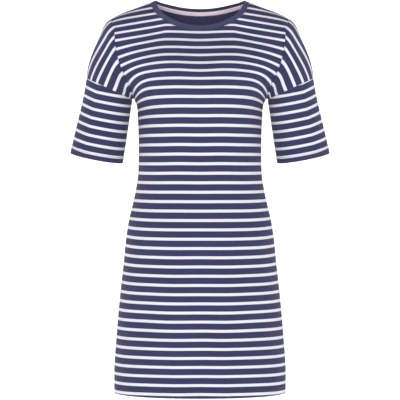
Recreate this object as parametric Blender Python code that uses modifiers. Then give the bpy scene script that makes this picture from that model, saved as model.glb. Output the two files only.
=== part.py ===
"""A striped jersey nightshirt in its worn, hollow form.

Units are metres and +Z is up. The garment faces -Y, and its own left side is at +X. The origin is where the
wearer's shoulders carry it: on the middle plane, at the height of the neck's highest points. Every panel is an
open surface that Solidify thickens, and neighbouring panels share their edge points, SEAM_GAP apart.
"""

import math
from typing import NamedTuple

import bmesh
import bpy
import numpy as np
from mathutils import Vector

# Cloth
WALL = 0.0015
BAND_WALL = 0.0022
TRIM_WALL = 0.0010
SEAM_GAP = 0.0003
SIDE_GAP = 0.0005
FOLDED_SEAM_GAP = 0.0012
SLEEVE_SEAM_GAP = 0.0006

# Heights of the body's edges
HEM_HEIGHT = -0.9035
UNDERARM_HEIGHT = -0.2262
SHOULDER_TIP_HEIGHT = -0.0430
FRONT_NECK_HEIGHT = -0.0717
BACK_NECK_HEIGHT = -0.0235
NECK_POINT_HEIGHT = -0.0040

# Half widths of the neck and the shoulders
NECK_POINT_X = 0.1120
SHOULDER_TIP_X = 0.2055

# The neckline is a quarter of a superellipse in front and a parabola behind
NECKLINE_POWER = 1.9
NECK_SIDE_SLOPE = 0.4

# How the shoulders round over from front to back, and how square the body's sections are
SHOULDER_ROUNDING = 0.060
SECTION_POWER = 2.2

# The armhole's largest depth in front and behind, and the height over which it opens above the underarm
ARMHOLE_FRONT = 0.063
ARMHOLE_BACK = 0.069
ARMHOLE_OPENING = 0.080

# The grid of a panel's half: columns from the middle to the side, rows from the hem to the top
NECK_COLUMNS = 8
SHOULDER_COLUMNS = 6
ROWS_BELOW_UNDERARM = 20
ROWS_ABOVE_UNDERARM = 14
TOP_SHAPE_START = 0.45
TOP_SHAPE_POWER = 1.7

# Neckband
BAND_WIDTH = 0.0122
BAND_GAP = 0.0010
BAND_ROWS = 3

# Tape and patch inside the back neck
TAPE_ABOVE_SEAM = 0.0046
TAPE_BELOW_SEAM = 0.0052
TAPE_COLUMNS = 7
PATCH_COLUMNS = 6
PATCH_ROWS = 6
PATCH_TOP = 0.0062
PATCH_DEPTH = 0.078
PATCH_CLEARANCE = 0.0010

# Sleeves
UPPER_SLEEVE_ROWS = 6
LOWER_SLEEVE_ROWS = 8
UNDERARM_LIFT = 0.0014
CAP_FULLNESS = 0.22
UNDERARM_FULLNESS = 0.33
SHOULDER_SWELL = 0.0040
SHOULDER_SWELL_AT = 0.13

NAVY = (0.060, 0.058, 0.150)
PINK = (0.730, 0.600, 0.690)
INNER_NAVY = (0.040, 0.040, 0.085)


class Level(NamedTuple):
    """One level section of the body."""

    height: float
    half_width: float
    front: float
    back: float


class EdgePoint(NamedTuple):
    """One point of the armhole edge or of the shoulder ridge, seen from the front."""

    x: float
    height: float


class Swell(NamedTuple):
    """A soft rise of the cloth, mirrored to both sides."""

    x: float
    height: float
    width: float
    tall: float
    rise: float


class Fold(NamedTuple):
    """A soft straight fold from one place to another, mirrored to both sides. A negative rise is a trough."""

    x0: float
    height0: float
    x1: float
    height1: float
    width: float
    rise: float


class Ring(NamedTuple):
    """A sleeve's round section. across reaches its outer end and forward its front."""

    centre: Vector
    across: Vector
    forward: Vector


LEVELS = (
    Level(height=-0.9035, half_width=0.1968, front=0.128, back=0.130),
    Level(height=-0.8470, half_width=0.1974, front=0.128, back=0.130),
    Level(height=-0.7800, half_width=0.1927, front=0.127, back=0.130),
    Level(height=-0.7200, half_width=0.1878, front=0.125, back=0.130),
    Level(height=-0.6600, half_width=0.1818, front=0.122, back=0.131),
    Level(height=-0.6000, half_width=0.1751, front=0.119, back=0.132),
    Level(height=-0.5500, half_width=0.1702, front=0.115, back=0.131),
    Level(height=-0.5050, half_width=0.1631, front=0.110, back=0.126),
    Level(height=-0.4500, half_width=0.1501, front=0.104, back=0.112),
    Level(height=-0.4040, half_width=0.1425, front=0.101, back=0.099),
    Level(height=-0.3600, half_width=0.1409, front=0.102, back=0.092),
    Level(height=-0.3200, half_width=0.1410, front=0.106, back=0.091),
    Level(height=-0.2700, half_width=0.1430, front=0.114, back=0.097),
    Level(height=-0.2380, half_width=0.1464, front=0.1187, back=0.1013),
    Level(height=-0.2262, half_width=0.1520, front=0.1198, back=0.1027),
    Level(height=-0.1950, half_width=0.1625, front=0.118, back=0.106),
    Level(height=-0.1650, half_width=0.1700, front=0.108, back=0.107),
    Level(height=-0.1150, half_width=0.1800, front=0.079, back=0.103),
    Level(height=-0.0717, half_width=0.1900, front=0.050, back=0.094),
    Level(height=-0.0300, half_width=0.1900, front=0.041, back=0.081),
    Level(height=+0.0000, half_width=0.1900, front=0.037, back=0.072),
)

ARMHOLE_EDGE = (
    EdgePoint(x=0.1520, height=UNDERARM_HEIGHT),
    EdgePoint(x=0.1570, height=-0.2100),
    EdgePoint(x=0.1655, height=-0.1878),
    EdgePoint(x=0.1772, height=-0.1631),
    EdgePoint(x=0.1863, height=-0.1359),
    EdgePoint(x=0.1909, height=-0.1154),
    EdgePoint(x=0.1938, height=-0.0881),
    EdgePoint(x=0.1972, height=-0.0580),
    EdgePoint(x=SHOULDER_TIP_X, height=SHOULDER_TIP_HEIGHT),
)

SHOULDER_RIDGE = (
    EdgePoint(x=NECK_POINT_X, height=NECK_POINT_HEIGHT),
    EdgePoint(x=0.1201, height=-0.0069),
    EdgePoint(x=0.1432, height=-0.0162),
    EdgePoint(x=0.1686, height=-0.0256),
    EdgePoint(x=0.1893, height=-0.0346),
    EdgePoint(x=SHOULDER_TIP_X, height=SHOULDER_TIP_HEIGHT),
)

FRONT_SWELLS = (
    Swell(x=0.082, height=-0.215, width=0.055, tall=0.060, rise=0.008),
)
BACK_SWELLS = (
    Swell(x=0.085, height=-0.120, width=0.050, tall=0.065, rise=0.004),
)

FRONT_FOLDS = (
    Fold(x0=0.168, height0=-0.165, x1=0.118, height1=-0.232, width=0.011, rise=-0.0040),
    Fold(x0=0.158, height0=-0.196, x1=0.116, height1=-0.262, width=0.010, rise=-0.0030),
)
BACK_FOLDS = (
    Fold(x0=0.166, height0=-0.160, x1=0.122, height1=-0.235, width=0.012, rise=-0.0040),
    Fold(x0=0.112, height0=-0.352, x1=0.040, height1=-0.372, width=0.013, rise=-0.0025),
)

SLEEVE_SEAM_RING = Ring(
    centre=Vector((0.2088, 0.0, -0.2035)),
    across=Vector((0.0523, 0.0, 0.0240)),
    forward=Vector((0.0, -0.066, -0.001)),
)
SLEEVE_HEM_RING = Ring(
    centre=Vector((0.2386, 0.0, -0.3622)),
    across=Vector((0.0594, 0.0, 0.0114)),
    forward=Vector((0.0, -0.0585, -0.0060)),
)


def spline(at, table, column, by="height"):
    """The smooth value of one column of a table at a place on another column."""
    rows = sorted(table, key=lambda row: getattr(row, by))
    places = np.array([getattr(row, by) for row in rows])
    values = np.array([getattr(row, column) for row in rows])
    slopes = np.gradient(values, places)
    at = min(max(at, places[0]), places[-1])
    i = min(int(np.searchsorted(places, at, side="right")) - 1, len(rows) - 2)
    span = places[i + 1] - places[i]
    s = (at - places[i]) / span
    start = values[i] * (1 + 2 * s) * (1 - s) ** 2 + slopes[i] * span * s * (1 - s) ** 2
    end = values[i + 1] * s * s * (3 - 2 * s) - slopes[i + 1] * span * s * s * (1 - s)
    return start + end


def edge_x(height):
    """Half width of the body at the side seam or, above the underarm, at the armhole."""
    if height <= UNDERARM_HEIGHT:
        return spline(height, LEVELS, "half_width")
    return spline(height, ARMHOLE_EDGE, "x")


def ridge_height(x):
    """Height of the shoulder line over a place, carried on inwards past the neck."""
    if x < NECK_POINT_X:
        return NECK_POINT_HEIGHT + NECK_SIDE_SLOPE * (NECK_POINT_X - x)
    return spline(x, SHOULDER_RIDGE, "height", by="x")


def armhole_closing(height):
    """How nearly the armhole has closed: 1 at the underarm and below, 0 where it is fully open."""
    return min(1.0, max(0.0, 1 - (height - UNDERARM_HEIGHT) / ARMHOLE_OPENING))


def fold_rise(fold, x, height):
    """How far a fold lifts the cloth at a place: full along its middle, fading to its sides and ends."""
    run = (fold.x1 - fold.x0, fold.height1 - fold.height0)
    length = math.hypot(*run)
    off = (x - fold.x0, height - fold.height0)
    along = (off[0] * run[0] + off[1] * run[1]) / length**2
    aside = (off[0] * run[1] - off[1] * run[0]) / length
    if not 0 < along < 1:
        return 0.0
    return fold.rise * math.sin(math.pi * along) ** 2 * math.exp(-((aside / fold.width) ** 2))


def body_depth(x, height, behind):
    """Distance of the front or back panel from the middle plane that runs through the side seams."""
    middle = spline(height, LEVELS, "back" if behind else "front")
    closing = armhole_closing(height)
    at_edge = (ARMHOLE_BACK if behind else ARMHOLE_FRONT) * math.sqrt(1 - closing**2)
    q = min(1.0, (x / edge_x(height)) ** SECTION_POWER)
    depth = math.sqrt(middle**2 * (1 - q) + at_edge**2 * q ** (1 + 2 * closing))
    for swell in BACK_SWELLS if behind else FRONT_SWELLS:
        aside = (x - swell.x) / swell.width
        above = (height - swell.height) / swell.tall
        depth += swell.rise * math.exp(-(aside**2) - above**2) * (1 - q)
    for fold in BACK_FOLDS if behind else FRONT_FOLDS:
        depth += fold_rise(fold, x, height) * (1 - q**4)
    below_ridge = max(0.0, ridge_height(x) - height)
    round_over = max(0.0, 1 - below_ridge / SHOULDER_ROUNDING)
    return depth * math.sqrt(1 - round_over**2)


def even_steps(points, count):
    """Points at even distances along a polyline, both ends kept."""
    points = np.array(points)
    lengths = np.concatenate([[0.0], np.cumsum(np.linalg.norm(np.diff(points, axis=0), axis=1))])
    places = np.linspace(0, lengths[-1], count + 1)
    return np.column_stack([np.interp(places, lengths, points[:, k]) for k in range(points.shape[1])])


def armhole_heights():
    """Heights of the rows above the underarm, even along the armhole's own length."""
    samples = 400
    points = []
    for i in range(samples + 1):
        turn = 0.5 - 0.5 * math.cos(math.pi * i / samples)
        height = UNDERARM_HEIGHT + (SHOULDER_TIP_HEIGHT - UNDERARM_HEIGHT) * turn
        x = edge_x(height)
        points.append((x, body_depth(x, height, False), height))
    return even_steps(points, ROWS_ABOVE_UNDERARM)[:, 2]


def neckline(behind):
    """The neckline's half, from the middle to the shoulder, as x and height at even distances."""
    samples = 200
    points = []
    for i in range(samples + 1):
        turn = 0.5 * math.pi * i / samples
        x = NECK_POINT_X * math.sin(turn) ** (2 / NECKLINE_POWER)
        if behind:
            drop = (NECK_POINT_HEIGHT - BACK_NECK_HEIGHT) * (1 - (x / NECK_POINT_X) ** 2)
        else:
            drop = (NECK_POINT_HEIGHT - FRONT_NECK_HEIGHT) * math.cos(turn) ** (2 / NECKLINE_POWER)
        points.append((x, NECK_POINT_HEIGHT - drop))
    return even_steps(points, NECK_COLUMNS)


class Panel:
    """The front or the back, as a grid of points over its half."""

    def __init__(self, behind):
        self.behind = behind
        self.rows = self.row_heights()
        self.top = self.top_edge()
        self.columns = len(self.top)

    def row_heights(self):
        """Height of every row at the side."""
        below = np.linspace(HEM_HEIGHT, UNDERARM_HEIGHT, ROWS_BELOW_UNDERARM + 1)
        return np.concatenate([below, armhole_heights()[1:]])

    def top_edge(self):
        """The top edge from the middle: the neckline and then the shoulder."""
        shoulder = []
        for i in range(1, SHOULDER_COLUMNS + 1):
            x = NECK_POINT_X + (SHOULDER_TIP_X - NECK_POINT_X) * i / SHOULDER_COLUMNS
            shoulder.append((x, ridge_height(x)))
        return np.concatenate([neckline(self.behind), np.array(shoulder)])

    def place(self, column, row):
        """The panel's point at a column and a row, which may lie between two rows."""
        side_height = np.interp(row, range(len(self.rows)), self.rows)
        neck_height = self.top[0][1]
        rise = 0.0
        if side_height > UNDERARM_HEIGHT:
            rise = (side_height - UNDERARM_HEIGHT) / (SHOULDER_TIP_HEIGHT - UNDERARM_HEIGHT)
        middle_height = side_height + rise * (neck_height - SHOULDER_TIP_HEIGHT)
        outwards = math.sin(0.5 * math.pi * column / (self.columns - 1))
        x = outwards * edge_x(side_height)
        height = middle_height + outwards * (side_height - middle_height)
        up = max(0.0, row / (len(self.rows) - 1) - TOP_SHAPE_START) / (1 - TOP_SHAPE_START)
        shape = up**TOP_SHAPE_POWER
        top_x, top_height = self.top[int(column)]
        x += shape * (top_x - outwards * SHOULDER_TIP_X)
        height += shape * (top_height - neck_height - outwards * (SHOULDER_TIP_HEIGHT - neck_height))
        depth = body_depth(x, height, self.behind) + SIDE_GAP / 2
        return Vector((x, depth if self.behind else -depth, height))

    def normal(self, column, row):
        """The outward normal at a point, from its neighbours."""
        last = len(self.rows) - 1
        up = self.place(column, min(row + 0.5, last)) - self.place(column, max(row - 0.5, 0))
        along = self.place(min(column + 1, self.columns - 1), row) - self.place(max(column - 1, 0), row)
        if column == 0:
            along = Vector((1, 0, 0))
        across = along.cross(up) if not self.behind else up.cross(along)
        return across.normalized()

    def half_grid(self):
        """All the points of the half, in rows. The armhole's points step aside by half of the seam gap."""
        grid = [[self.place(c, r) for c in range(self.columns)] for r in range(len(self.rows))]
        for row in grid[ROWS_BELOW_UNDERARM:]:
            row[-1] = row[-1] - Vector((SEAM_GAP / 2, 0, 0))
        return grid


def add_mesh_object(name, points, closed, collection, flip=False):
    """An open surface over rows of points. closed joins each row's end to its start."""
    mesh_data = bmesh.new()
    rows = [[mesh_data.verts.new(point) for point in row] for row in points]
    for lower, upper in zip(rows, rows[1:]):
        steps = len(lower) if closed else len(lower) - 1
        for i in range(steps):
            j = (i + 1) % len(lower)
            corners = (lower[i], lower[j], upper[j], upper[i])
            mesh_data.faces.new(corners[::-1] if flip else corners)
    mesh = bpy.data.meshes.new(name)
    mesh_data.to_mesh(mesh)
    mesh_data.free()
    mesh.shade_smooth()
    result = bpy.data.objects.new(name, mesh)
    collection.objects.link(result)
    return result


def mirror(target):
    """Adds the other half across the middle plane."""
    modifier = target.modifiers.new("other half", "MIRROR")
    modifier.use_axis = (True, False, False)
    modifier.use_clip = True
    modifier.merge_threshold = 0.0001


def thicken(target, wall):
    """Gives an open surface its wall, centred on the surface."""
    modifier = target.modifiers.new("wall", "SOLIDIFY")
    modifier.thickness = wall
    modifier.offset = 0.0


def material(name, colour, roughness):
    """A plain cloth material."""
    result = bpy.data.materials.new(name)
    result.use_nodes = True
    shader = result.node_tree.nodes["Principled BSDF"]
    shader.inputs["Base Color"].default_value = (*colour, 1.0)
    shader.inputs["Roughness"].default_value = roughness
    shader.inputs["Metallic"].default_value = 0.0
    return result


def paint(target, colour, roughness=0.85):
    """Gives an object a material of its own."""
    target.data.materials.append(material(target.name + " cloth", colour, roughness))


def build_panel(name, panel, collection):
    """The front or the back."""
    result = add_mesh_object(name, panel.half_grid(), False, collection, flip=panel.behind)
    mirror(result)
    thicken(result, WALL)
    paint(result, NAVY)


def band_direction(point, behind):
    """The way the neckband stands up from its seam at a point."""
    front_way = Vector((0.0, 0.0050, 0.0112)).normalized()
    back_way = Vector((0.0, -0.0050, 0.0110)).normalized()
    side_way = Vector((-math.copysign(0.0115, point.x), 0.0, 0.0042)).normalized()
    aside = min(1.0, abs(point.x) / NECK_POINT_X) ** 2
    upwards = back_way if behind else front_way
    return upwards.lerp(side_way, aside).normalized()


def mirrored(vector):
    """The same vector on the other side of the middle plane."""
    return Vector((-vector.x, vector.y, vector.z))


def neck_ring(front, back):
    """The neck seam's points all round, each with whether it is behind, starting at the left neck point."""
    last_row = len(front.rows) - 1
    front_half = [front.place(c, last_row) for c in range(NECK_COLUMNS + 1)]
    back_half = [back.place(c, last_row) for c in range(NECK_COLUMNS + 1)]
    for half in (front_half, back_half):
        half[-1].y = 0.0
    ring = [(point, False) for point in front_half[::-1]]
    ring += [(mirrored(point), False) for point in front_half[1:]]
    ring += [(mirrored(point), True) for point in back_half[-2::-1]]
    ring += [(point, True) for point in back_half[1:-1]]
    return ring


def build_neckband(front, back, collection):
    """The rib band round the neck, standing on the neck seam."""
    ring = neck_ring(front, back)
    rows = []
    for r in range(BAND_ROWS + 1):
        reach = BAND_GAP + (BAND_WIDTH - BAND_GAP) * r / BAND_ROWS
        rows.append([point + band_direction(point, behind) * reach for point, behind in ring])
    result = add_mesh_object("neckband", rows, True, collection, flip=True)
    thicken(result, BAND_WALL)
    paint(result, NAVY)


def build_tape(back, collection):
    """The tape that covers the back neck seam from inside."""
    last_row = len(back.rows) - 1
    inwards = BAND_WALL / 2 + SEAM_GAP + TRIM_WALL / 2
    rows = [[], [], []]
    for c in range(-TAPE_COLUMNS, TAPE_COLUMNS + 1):
        seam = back.place(abs(c), last_row)
        normal = back.normal(abs(c), last_row - 1)
        below = back.place(abs(c), last_row - 1) - seam
        upwards = band_direction(seam, True)
        lift = -normal * inwards
        places = [
            seam + below.normalized() * TAPE_BELOW_SEAM + lift,
            seam + lift,
            seam + upwards * TAPE_ABOVE_SEAM + lift,
        ]
        for row, place in zip(rows, places):
            row.append(mirrored(place) if c < 0 else place)
    result = add_mesh_object("back_neck_tape", rows, False, collection, flip=True)
    thicken(result, TRIM_WALL)
    paint(result, PINK)


def build_patch(back, collection):
    """The half-moon of plain cloth inside the back neck, made from the back's own points moved inwards."""
    last_row = len(back.rows) - 1
    inwards = WALL / 2 + PATCH_CLEARANCE + TRIM_WALL / 2
    widest = back.place(PATCH_COLUMNS, last_row).x * 1.02
    rows = [[] for _ in range(PATCH_ROWS + 1)]
    for c in range(-PATCH_COLUMNS, PATCH_COLUMNS + 1):
        column = abs(c)
        seam = back.place(column, last_row)
        drop = PATCH_DEPTH * math.sqrt(1 - (seam.x / widest) ** 2)
        for r in range(PATCH_ROWS + 1):
            height = seam.z - PATCH_TOP - (drop - PATCH_TOP) * (1 - r / PATCH_ROWS)
            row = row_at_height(back, column, height)
            place = back.place(column, row) - back.normal(column, row) * inwards
            rows[r].append(mirrored(place) if c < 0 else place)
    result = add_mesh_object("back_neck_patch", rows, False, collection, flip=True)
    thicken(result, TRIM_WALL)
    paint(result, INNER_NAVY)


def row_at_height(panel, column, height):
    """The row of a panel, maybe between two rows, where a column passes a height."""
    low, high = 0.0, float(len(panel.rows) - 1)
    for _ in range(40):
        middle = (low + high) / 2
        if panel.place(column, middle).z < height:
            low = middle
        else:
            high = middle
    return (low + high) / 2


def armhole_ring(front, back):
    """The armhole's points, from the shoulder down the front to the underarm and up the back."""
    last_column = front.columns - 1
    rows = range(ROWS_BELOW_UNDERARM, len(front.rows))
    down_front = [front.place(last_column, r) for r in reversed(rows)]
    up_back = [back.place(last_column, r) for r in rows]
    for half in (down_front, up_back):
        half[0 if half is up_back else -1].y = 0.0
        half[-1 if half is up_back else 0].y = 0.0
    return down_front + up_back[1:-1]


def ring_point(ring, turn):
    """A point of a sleeve's round section. Turn 0 is its outer end, and a quarter turn its front."""
    return ring.centre + ring.across * math.cos(turn) + ring.forward * math.sin(turn)


def course(turn, inner_lean, outer_lean):
    """The way a sleeve piece's cloth runs down at its seam ring, from its leans at the underarm and outside."""
    outer = (1 + math.cos(turn)) / 2
    return Vector((inner_lean + (outer_lean - inner_lean) * outer, 0.0, -1.0)).normalized()


def shoulder_swell(turn, s):
    """How far the shoulder's rounding lifts the upper sleeve on its outer side, a little below the armhole."""
    place = s / SHOULDER_SWELL_AT
    rise = SHOULDER_SWELL * (place * math.exp(1 - place)) ** 2 * max(0.0, math.cos(turn)) ** 2
    return Vector((0.93, 0.0, 0.37)) * rise


def hermite(start, start_way, end, end_way, s):
    """A point along a smooth curve between two places with given directions there."""
    length = (end - start).length
    first = start * ((1 + 2 * s) * (1 - s) ** 2) + start_way * (length * s * (1 - s) ** 2)
    second = end * (s * s * (3 - 2 * s)) - end_way * (length * s * s * (1 - s))
    return first + second


def upper_sleeve_rows(front, back):
    """Rows of points from the armhole to the seam between the two sleeve pieces."""
    start_ring = armhole_ring(front, back)
    count = len(start_ring)
    rows = []
    for r in range(UPPER_SLEEVE_ROWS + 1):
        row = []
        for i, start in enumerate(start_ring):
            turn = 2 * math.pi * i / count
            under = ((1 - math.cos(turn)) / 2) ** 6
            aside = SEAM_GAP / 2 + FOLDED_SEAM_GAP * (1 - under**2)
            start = start + Vector((aside, 0, UNDERARM_LIFT * under))
            end_way = course(turn, 0.40, 0.06)
            end = ring_point(SLEEVE_SEAM_RING, turn) - end_way * (SLEEVE_SEAM_GAP / 2)
            outwards = Vector((1, 0.25 * math.sin(turn), -0.4 * max(0.0, math.cos(turn)))).normalized()
            chord = (end - start).normalized()
            fullness = CAP_FULLNESS + UNDERARM_FULLNESS * ((1 - math.cos(turn)) / 2) ** 3
            start_way = chord.lerp(outwards, fullness).normalized()
            s = r / UPPER_SLEEVE_ROWS
            row.append(hermite(start, start_way, end, end_way, s) + shoulder_swell(turn, s))
        rows.append(row)
    return rows


def lower_sleeve_rows(count):
    """Rows of points from the seam between the two sleeve pieces to the sleeve's hem."""
    hem_way = Vector((0.19, 0.0, -1.0)).normalized()
    rows = []
    for r in range(LOWER_SLEEVE_ROWS + 1):
        row = []
        for i in range(count):
            turn = 2 * math.pi * i / count
            start_way = course(turn, 0.16, 0.13)
            start = ring_point(SLEEVE_SEAM_RING, turn) + start_way * (SLEEVE_SEAM_GAP / 2)
            end = ring_point(SLEEVE_HEM_RING, turn)
            row.append(hermite(start, start_way, end, hem_way, r / LOWER_SLEEVE_ROWS))
        rows.append(row)
    return rows


def build_sleeve(side, front, back, collection):
    """The two pieces of one sleeve. side is left, at +X, or right."""
    upper = upper_sleeve_rows(front, back)
    lower = lower_sleeve_rows(len(upper[0]))
    for name, rows in (("upper_sleeve_", upper), ("lower_sleeve_", lower)):
        if side == "right":
            rows = [[mirrored(point) for point in row] for row in rows]
        result = add_mesh_object(name + side, rows, True, collection, flip=side == "left")
        thicken(result, WALL)
        paint(result, NAVY)


def main():
    """Builds the nightshirt."""
    for old in list(bpy.data.objects):
        bpy.data.objects.remove(old)
    collection = bpy.data.collections.new("nightshirt")
    bpy.context.scene.collection.children.link(collection)
    front = Panel(behind=False)
    back = Panel(behind=True)
    build_panel("front", front, collection)
    build_panel("back", back, collection)
    build_neckband(front, back, collection)
    build_tape(back, collection)
    build_patch(back, collection)
    for side in ("left", "right"):
        build_sleeve(side, front, back, collection)


main()
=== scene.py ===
"""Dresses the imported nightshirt: striped jersey, rib neckband, neck tape, hems and stitches.

The garment keeps the worn form of its solids. Units are metres, +Z is up and the front faces -Y. Each
cloth piece is a fine grid of points on that form, which carries two sets of values: a UV map in metres of
cloth, for the knit, and a stripe number, which is whole along the middle of every white stripe.
"""

import logging
import math
from dataclasses import dataclass, field
from enum import Enum
from typing import NamedTuple, Sequence

import bpy
import numpy as np
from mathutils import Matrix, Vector

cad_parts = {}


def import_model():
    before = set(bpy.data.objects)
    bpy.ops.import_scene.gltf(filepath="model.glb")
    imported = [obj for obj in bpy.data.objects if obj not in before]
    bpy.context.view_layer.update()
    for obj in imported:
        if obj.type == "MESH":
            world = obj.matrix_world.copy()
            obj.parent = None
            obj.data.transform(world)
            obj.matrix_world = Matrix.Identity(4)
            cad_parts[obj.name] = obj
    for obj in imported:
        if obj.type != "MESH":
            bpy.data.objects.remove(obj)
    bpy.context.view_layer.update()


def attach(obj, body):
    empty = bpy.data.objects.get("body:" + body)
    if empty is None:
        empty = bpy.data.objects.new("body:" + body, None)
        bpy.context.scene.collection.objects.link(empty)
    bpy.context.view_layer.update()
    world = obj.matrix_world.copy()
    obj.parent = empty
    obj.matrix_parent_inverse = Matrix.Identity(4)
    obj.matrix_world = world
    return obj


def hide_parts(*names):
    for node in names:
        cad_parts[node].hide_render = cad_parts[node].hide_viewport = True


LOG = logging.getLogger("nightshirt")

UV_NAME = "cloth"
STRIPE_NAME = "stripe_number"
HEM_GROUP = "turned_hem"

# Heights and half widths of the body's edges
HEM_HEIGHT = -0.9035
UNDERARM_HEIGHT = -0.2262
SHOULDER_TIP_HEIGHT = -0.0430
FRONT_NECK_HEIGHT = -0.0717
BACK_NECK_HEIGHT = -0.0235
NECK_POINT_HEIGHT = -0.0040
NECK_POINT_X = 0.1120
SHOULDER_TIP_X = 0.2055

# How the sections, the neckline and the shoulders are rounded
NECKLINE_POWER = 1.9
NECK_SIDE_SLOPE = 0.4
SHOULDER_ROUNDING = 0.060
SECTION_POWER = 2.2
ARMHOLE_FRONT = 0.063
ARMHOLE_BACK = 0.069
ARMHOLE_OPENING = 0.080

# Columns and rows that the solids have, which the fine grids divide further
NECK_COLUMNS = 8
SIDE_COLUMN = 14
UNDERARM_ROW = 20
TOP_ROW = 34
TOP_SHAPE_START = 0.45
TOP_SHAPE_POWER = 1.7

# How the turned-up hems and their stitches show
HEM_STEP = 0.0012
NEEDLE_INSET = 0.0010
NEEDLE_DIP = 0.0004
NEEDLE_DIP_WIDTH = 0.0012
THREAD_LIFT = 0.0001

# Painted shade: how much darker the grooves of each surface are painted, standing in for the shade that
# falls in them
JERSEY_GROOVE_SHADE = 0.72
PALE_GROOVE_SHADE = 0.90
RIB_GROOVE_SHADE = 0.62
TWILL_GROOVE_SHADE = 0.93


class Side(Enum):
    """The garment's own left or right."""

    LEFT = 1
    RIGHT = -1


class Face(Enum):
    """The front or the back of the body."""

    FRONT = "front"
    BACK = "back"


class Level(NamedTuple):
    """One level section of the body."""

    height: float
    half_width: float
    front: float
    back: float


class EdgePoint(NamedTuple):
    """One point of the armhole edge or of the shoulder ridge, seen from the front."""

    x: float
    height: float


class Swell(NamedTuple):
    """A soft rise of the cloth, mirrored to both sides."""

    x: float
    height: float
    width: float
    tall: float
    rise: float


class Fold(NamedTuple):
    """A soft fold from one place to another. sides is 1 or -1 for one side, 0 for both."""

    x0: float
    height0: float
    x1: float
    height1: float
    width: float
    rise: float
    sides: int = 0


class StripeLevel(NamedTuple):
    """Where one stripe crosses the middle of the front, and how it droops towards the sides.

    droop is its fall at the edge, power how late that fall comes, and arch its rise beside the middle.
    """

    stripe: float
    height: float
    droop: float
    power: float
    arch: float


class CapStripe(NamedTuple):
    """Where one lengthwise stripe of the upper sleeve starts and ends.

    share is its place along the armhole, 1 at the shoulder and 0 at the underarm, and turn its place round
    the sleeve's seam in degrees.
    """

    stripe: float
    share: float
    turn: float


class Ring(NamedTuple):
    """A sleeve's round section. across reaches its outer end and forward its front."""

    centre: tuple[float, float, float]
    across: tuple[float, float, float]
    forward: tuple[float, float, float]


LEVELS = (
    Level(height=-0.9035, half_width=0.1968, front=0.128, back=0.130),
    Level(height=-0.8470, half_width=0.1974, front=0.128, back=0.130),
    Level(height=-0.7800, half_width=0.1927, front=0.127, back=0.130),
    Level(height=-0.7200, half_width=0.1878, front=0.125, back=0.130),
    Level(height=-0.6600, half_width=0.1818, front=0.122, back=0.131),
    Level(height=-0.6000, half_width=0.1751, front=0.119, back=0.132),
    Level(height=-0.5500, half_width=0.1702, front=0.115, back=0.131),
    Level(height=-0.5050, half_width=0.1631, front=0.110, back=0.126),
    Level(height=-0.4500, half_width=0.1501, front=0.104, back=0.112),
    Level(height=-0.4040, half_width=0.1425, front=0.101, back=0.099),
    Level(height=-0.3600, half_width=0.1409, front=0.102, back=0.092),
    Level(height=-0.3200, half_width=0.1410, front=0.106, back=0.091),
    Level(height=-0.2700, half_width=0.1430, front=0.114, back=0.097),
    Level(height=-0.2380, half_width=0.1464, front=0.1187, back=0.1013),
    Level(height=-0.2262, half_width=0.1520, front=0.1198, back=0.1027),
    Level(height=-0.1950, half_width=0.1625, front=0.118, back=0.106),
    Level(height=-0.1650, half_width=0.1700, front=0.108, back=0.107),
    Level(height=-0.1150, half_width=0.1800, front=0.079, back=0.103),
    Level(height=-0.0717, half_width=0.1900, front=0.050, back=0.094),
    Level(height=-0.0300, half_width=0.1900, front=0.041, back=0.081),
    Level(height=+0.0000, half_width=0.1900, front=0.037, back=0.072),
)

ARMHOLE_EDGE = (
    EdgePoint(x=0.1520, height=UNDERARM_HEIGHT),
    EdgePoint(x=0.1570, height=-0.2100),
    EdgePoint(x=0.1655, height=-0.1878),
    EdgePoint(x=0.1772, height=-0.1631),
    EdgePoint(x=0.1863, height=-0.1359),
    EdgePoint(x=0.1909, height=-0.1154),
    EdgePoint(x=0.1938, height=-0.0881),
    EdgePoint(x=0.1972, height=-0.0580),
    EdgePoint(x=SHOULDER_TIP_X, height=SHOULDER_TIP_HEIGHT),
)

SHOULDER_RIDGE = (
    EdgePoint(x=NECK_POINT_X, height=NECK_POINT_HEIGHT),
    EdgePoint(x=0.1201, height=-0.0069),
    EdgePoint(x=0.1432, height=-0.0162),
    EdgePoint(x=0.1686, height=-0.0256),
    EdgePoint(x=0.1893, height=-0.0346),
    EdgePoint(x=SHOULDER_TIP_X, height=SHOULDER_TIP_HEIGHT),
)

SWELLS = {
    Face.FRONT: (Swell(x=0.082, height=-0.215, width=0.055, tall=0.060, rise=0.008),),
    Face.BACK: (Swell(x=0.085, height=-0.120, width=0.050, tall=0.065, rise=0.004),),
}

SOLID_FOLDS = {
    Face.FRONT: (
        Fold(x0=0.168, height0=-0.165, x1=0.118, height1=-0.232, width=0.011, rise=-0.0040),
        Fold(x0=0.158, height0=-0.196, x1=0.116, height1=-0.262, width=0.010, rise=-0.0030),
    ),
    Face.BACK: (
        Fold(x0=0.166, height0=-0.160, x1=0.122, height1=-0.235, width=0.012, rise=-0.0040),
        Fold(x0=0.112, height0=-0.352, x1=0.040, height1=-0.372, width=0.013, rise=-0.0025),
    ),
}

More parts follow.
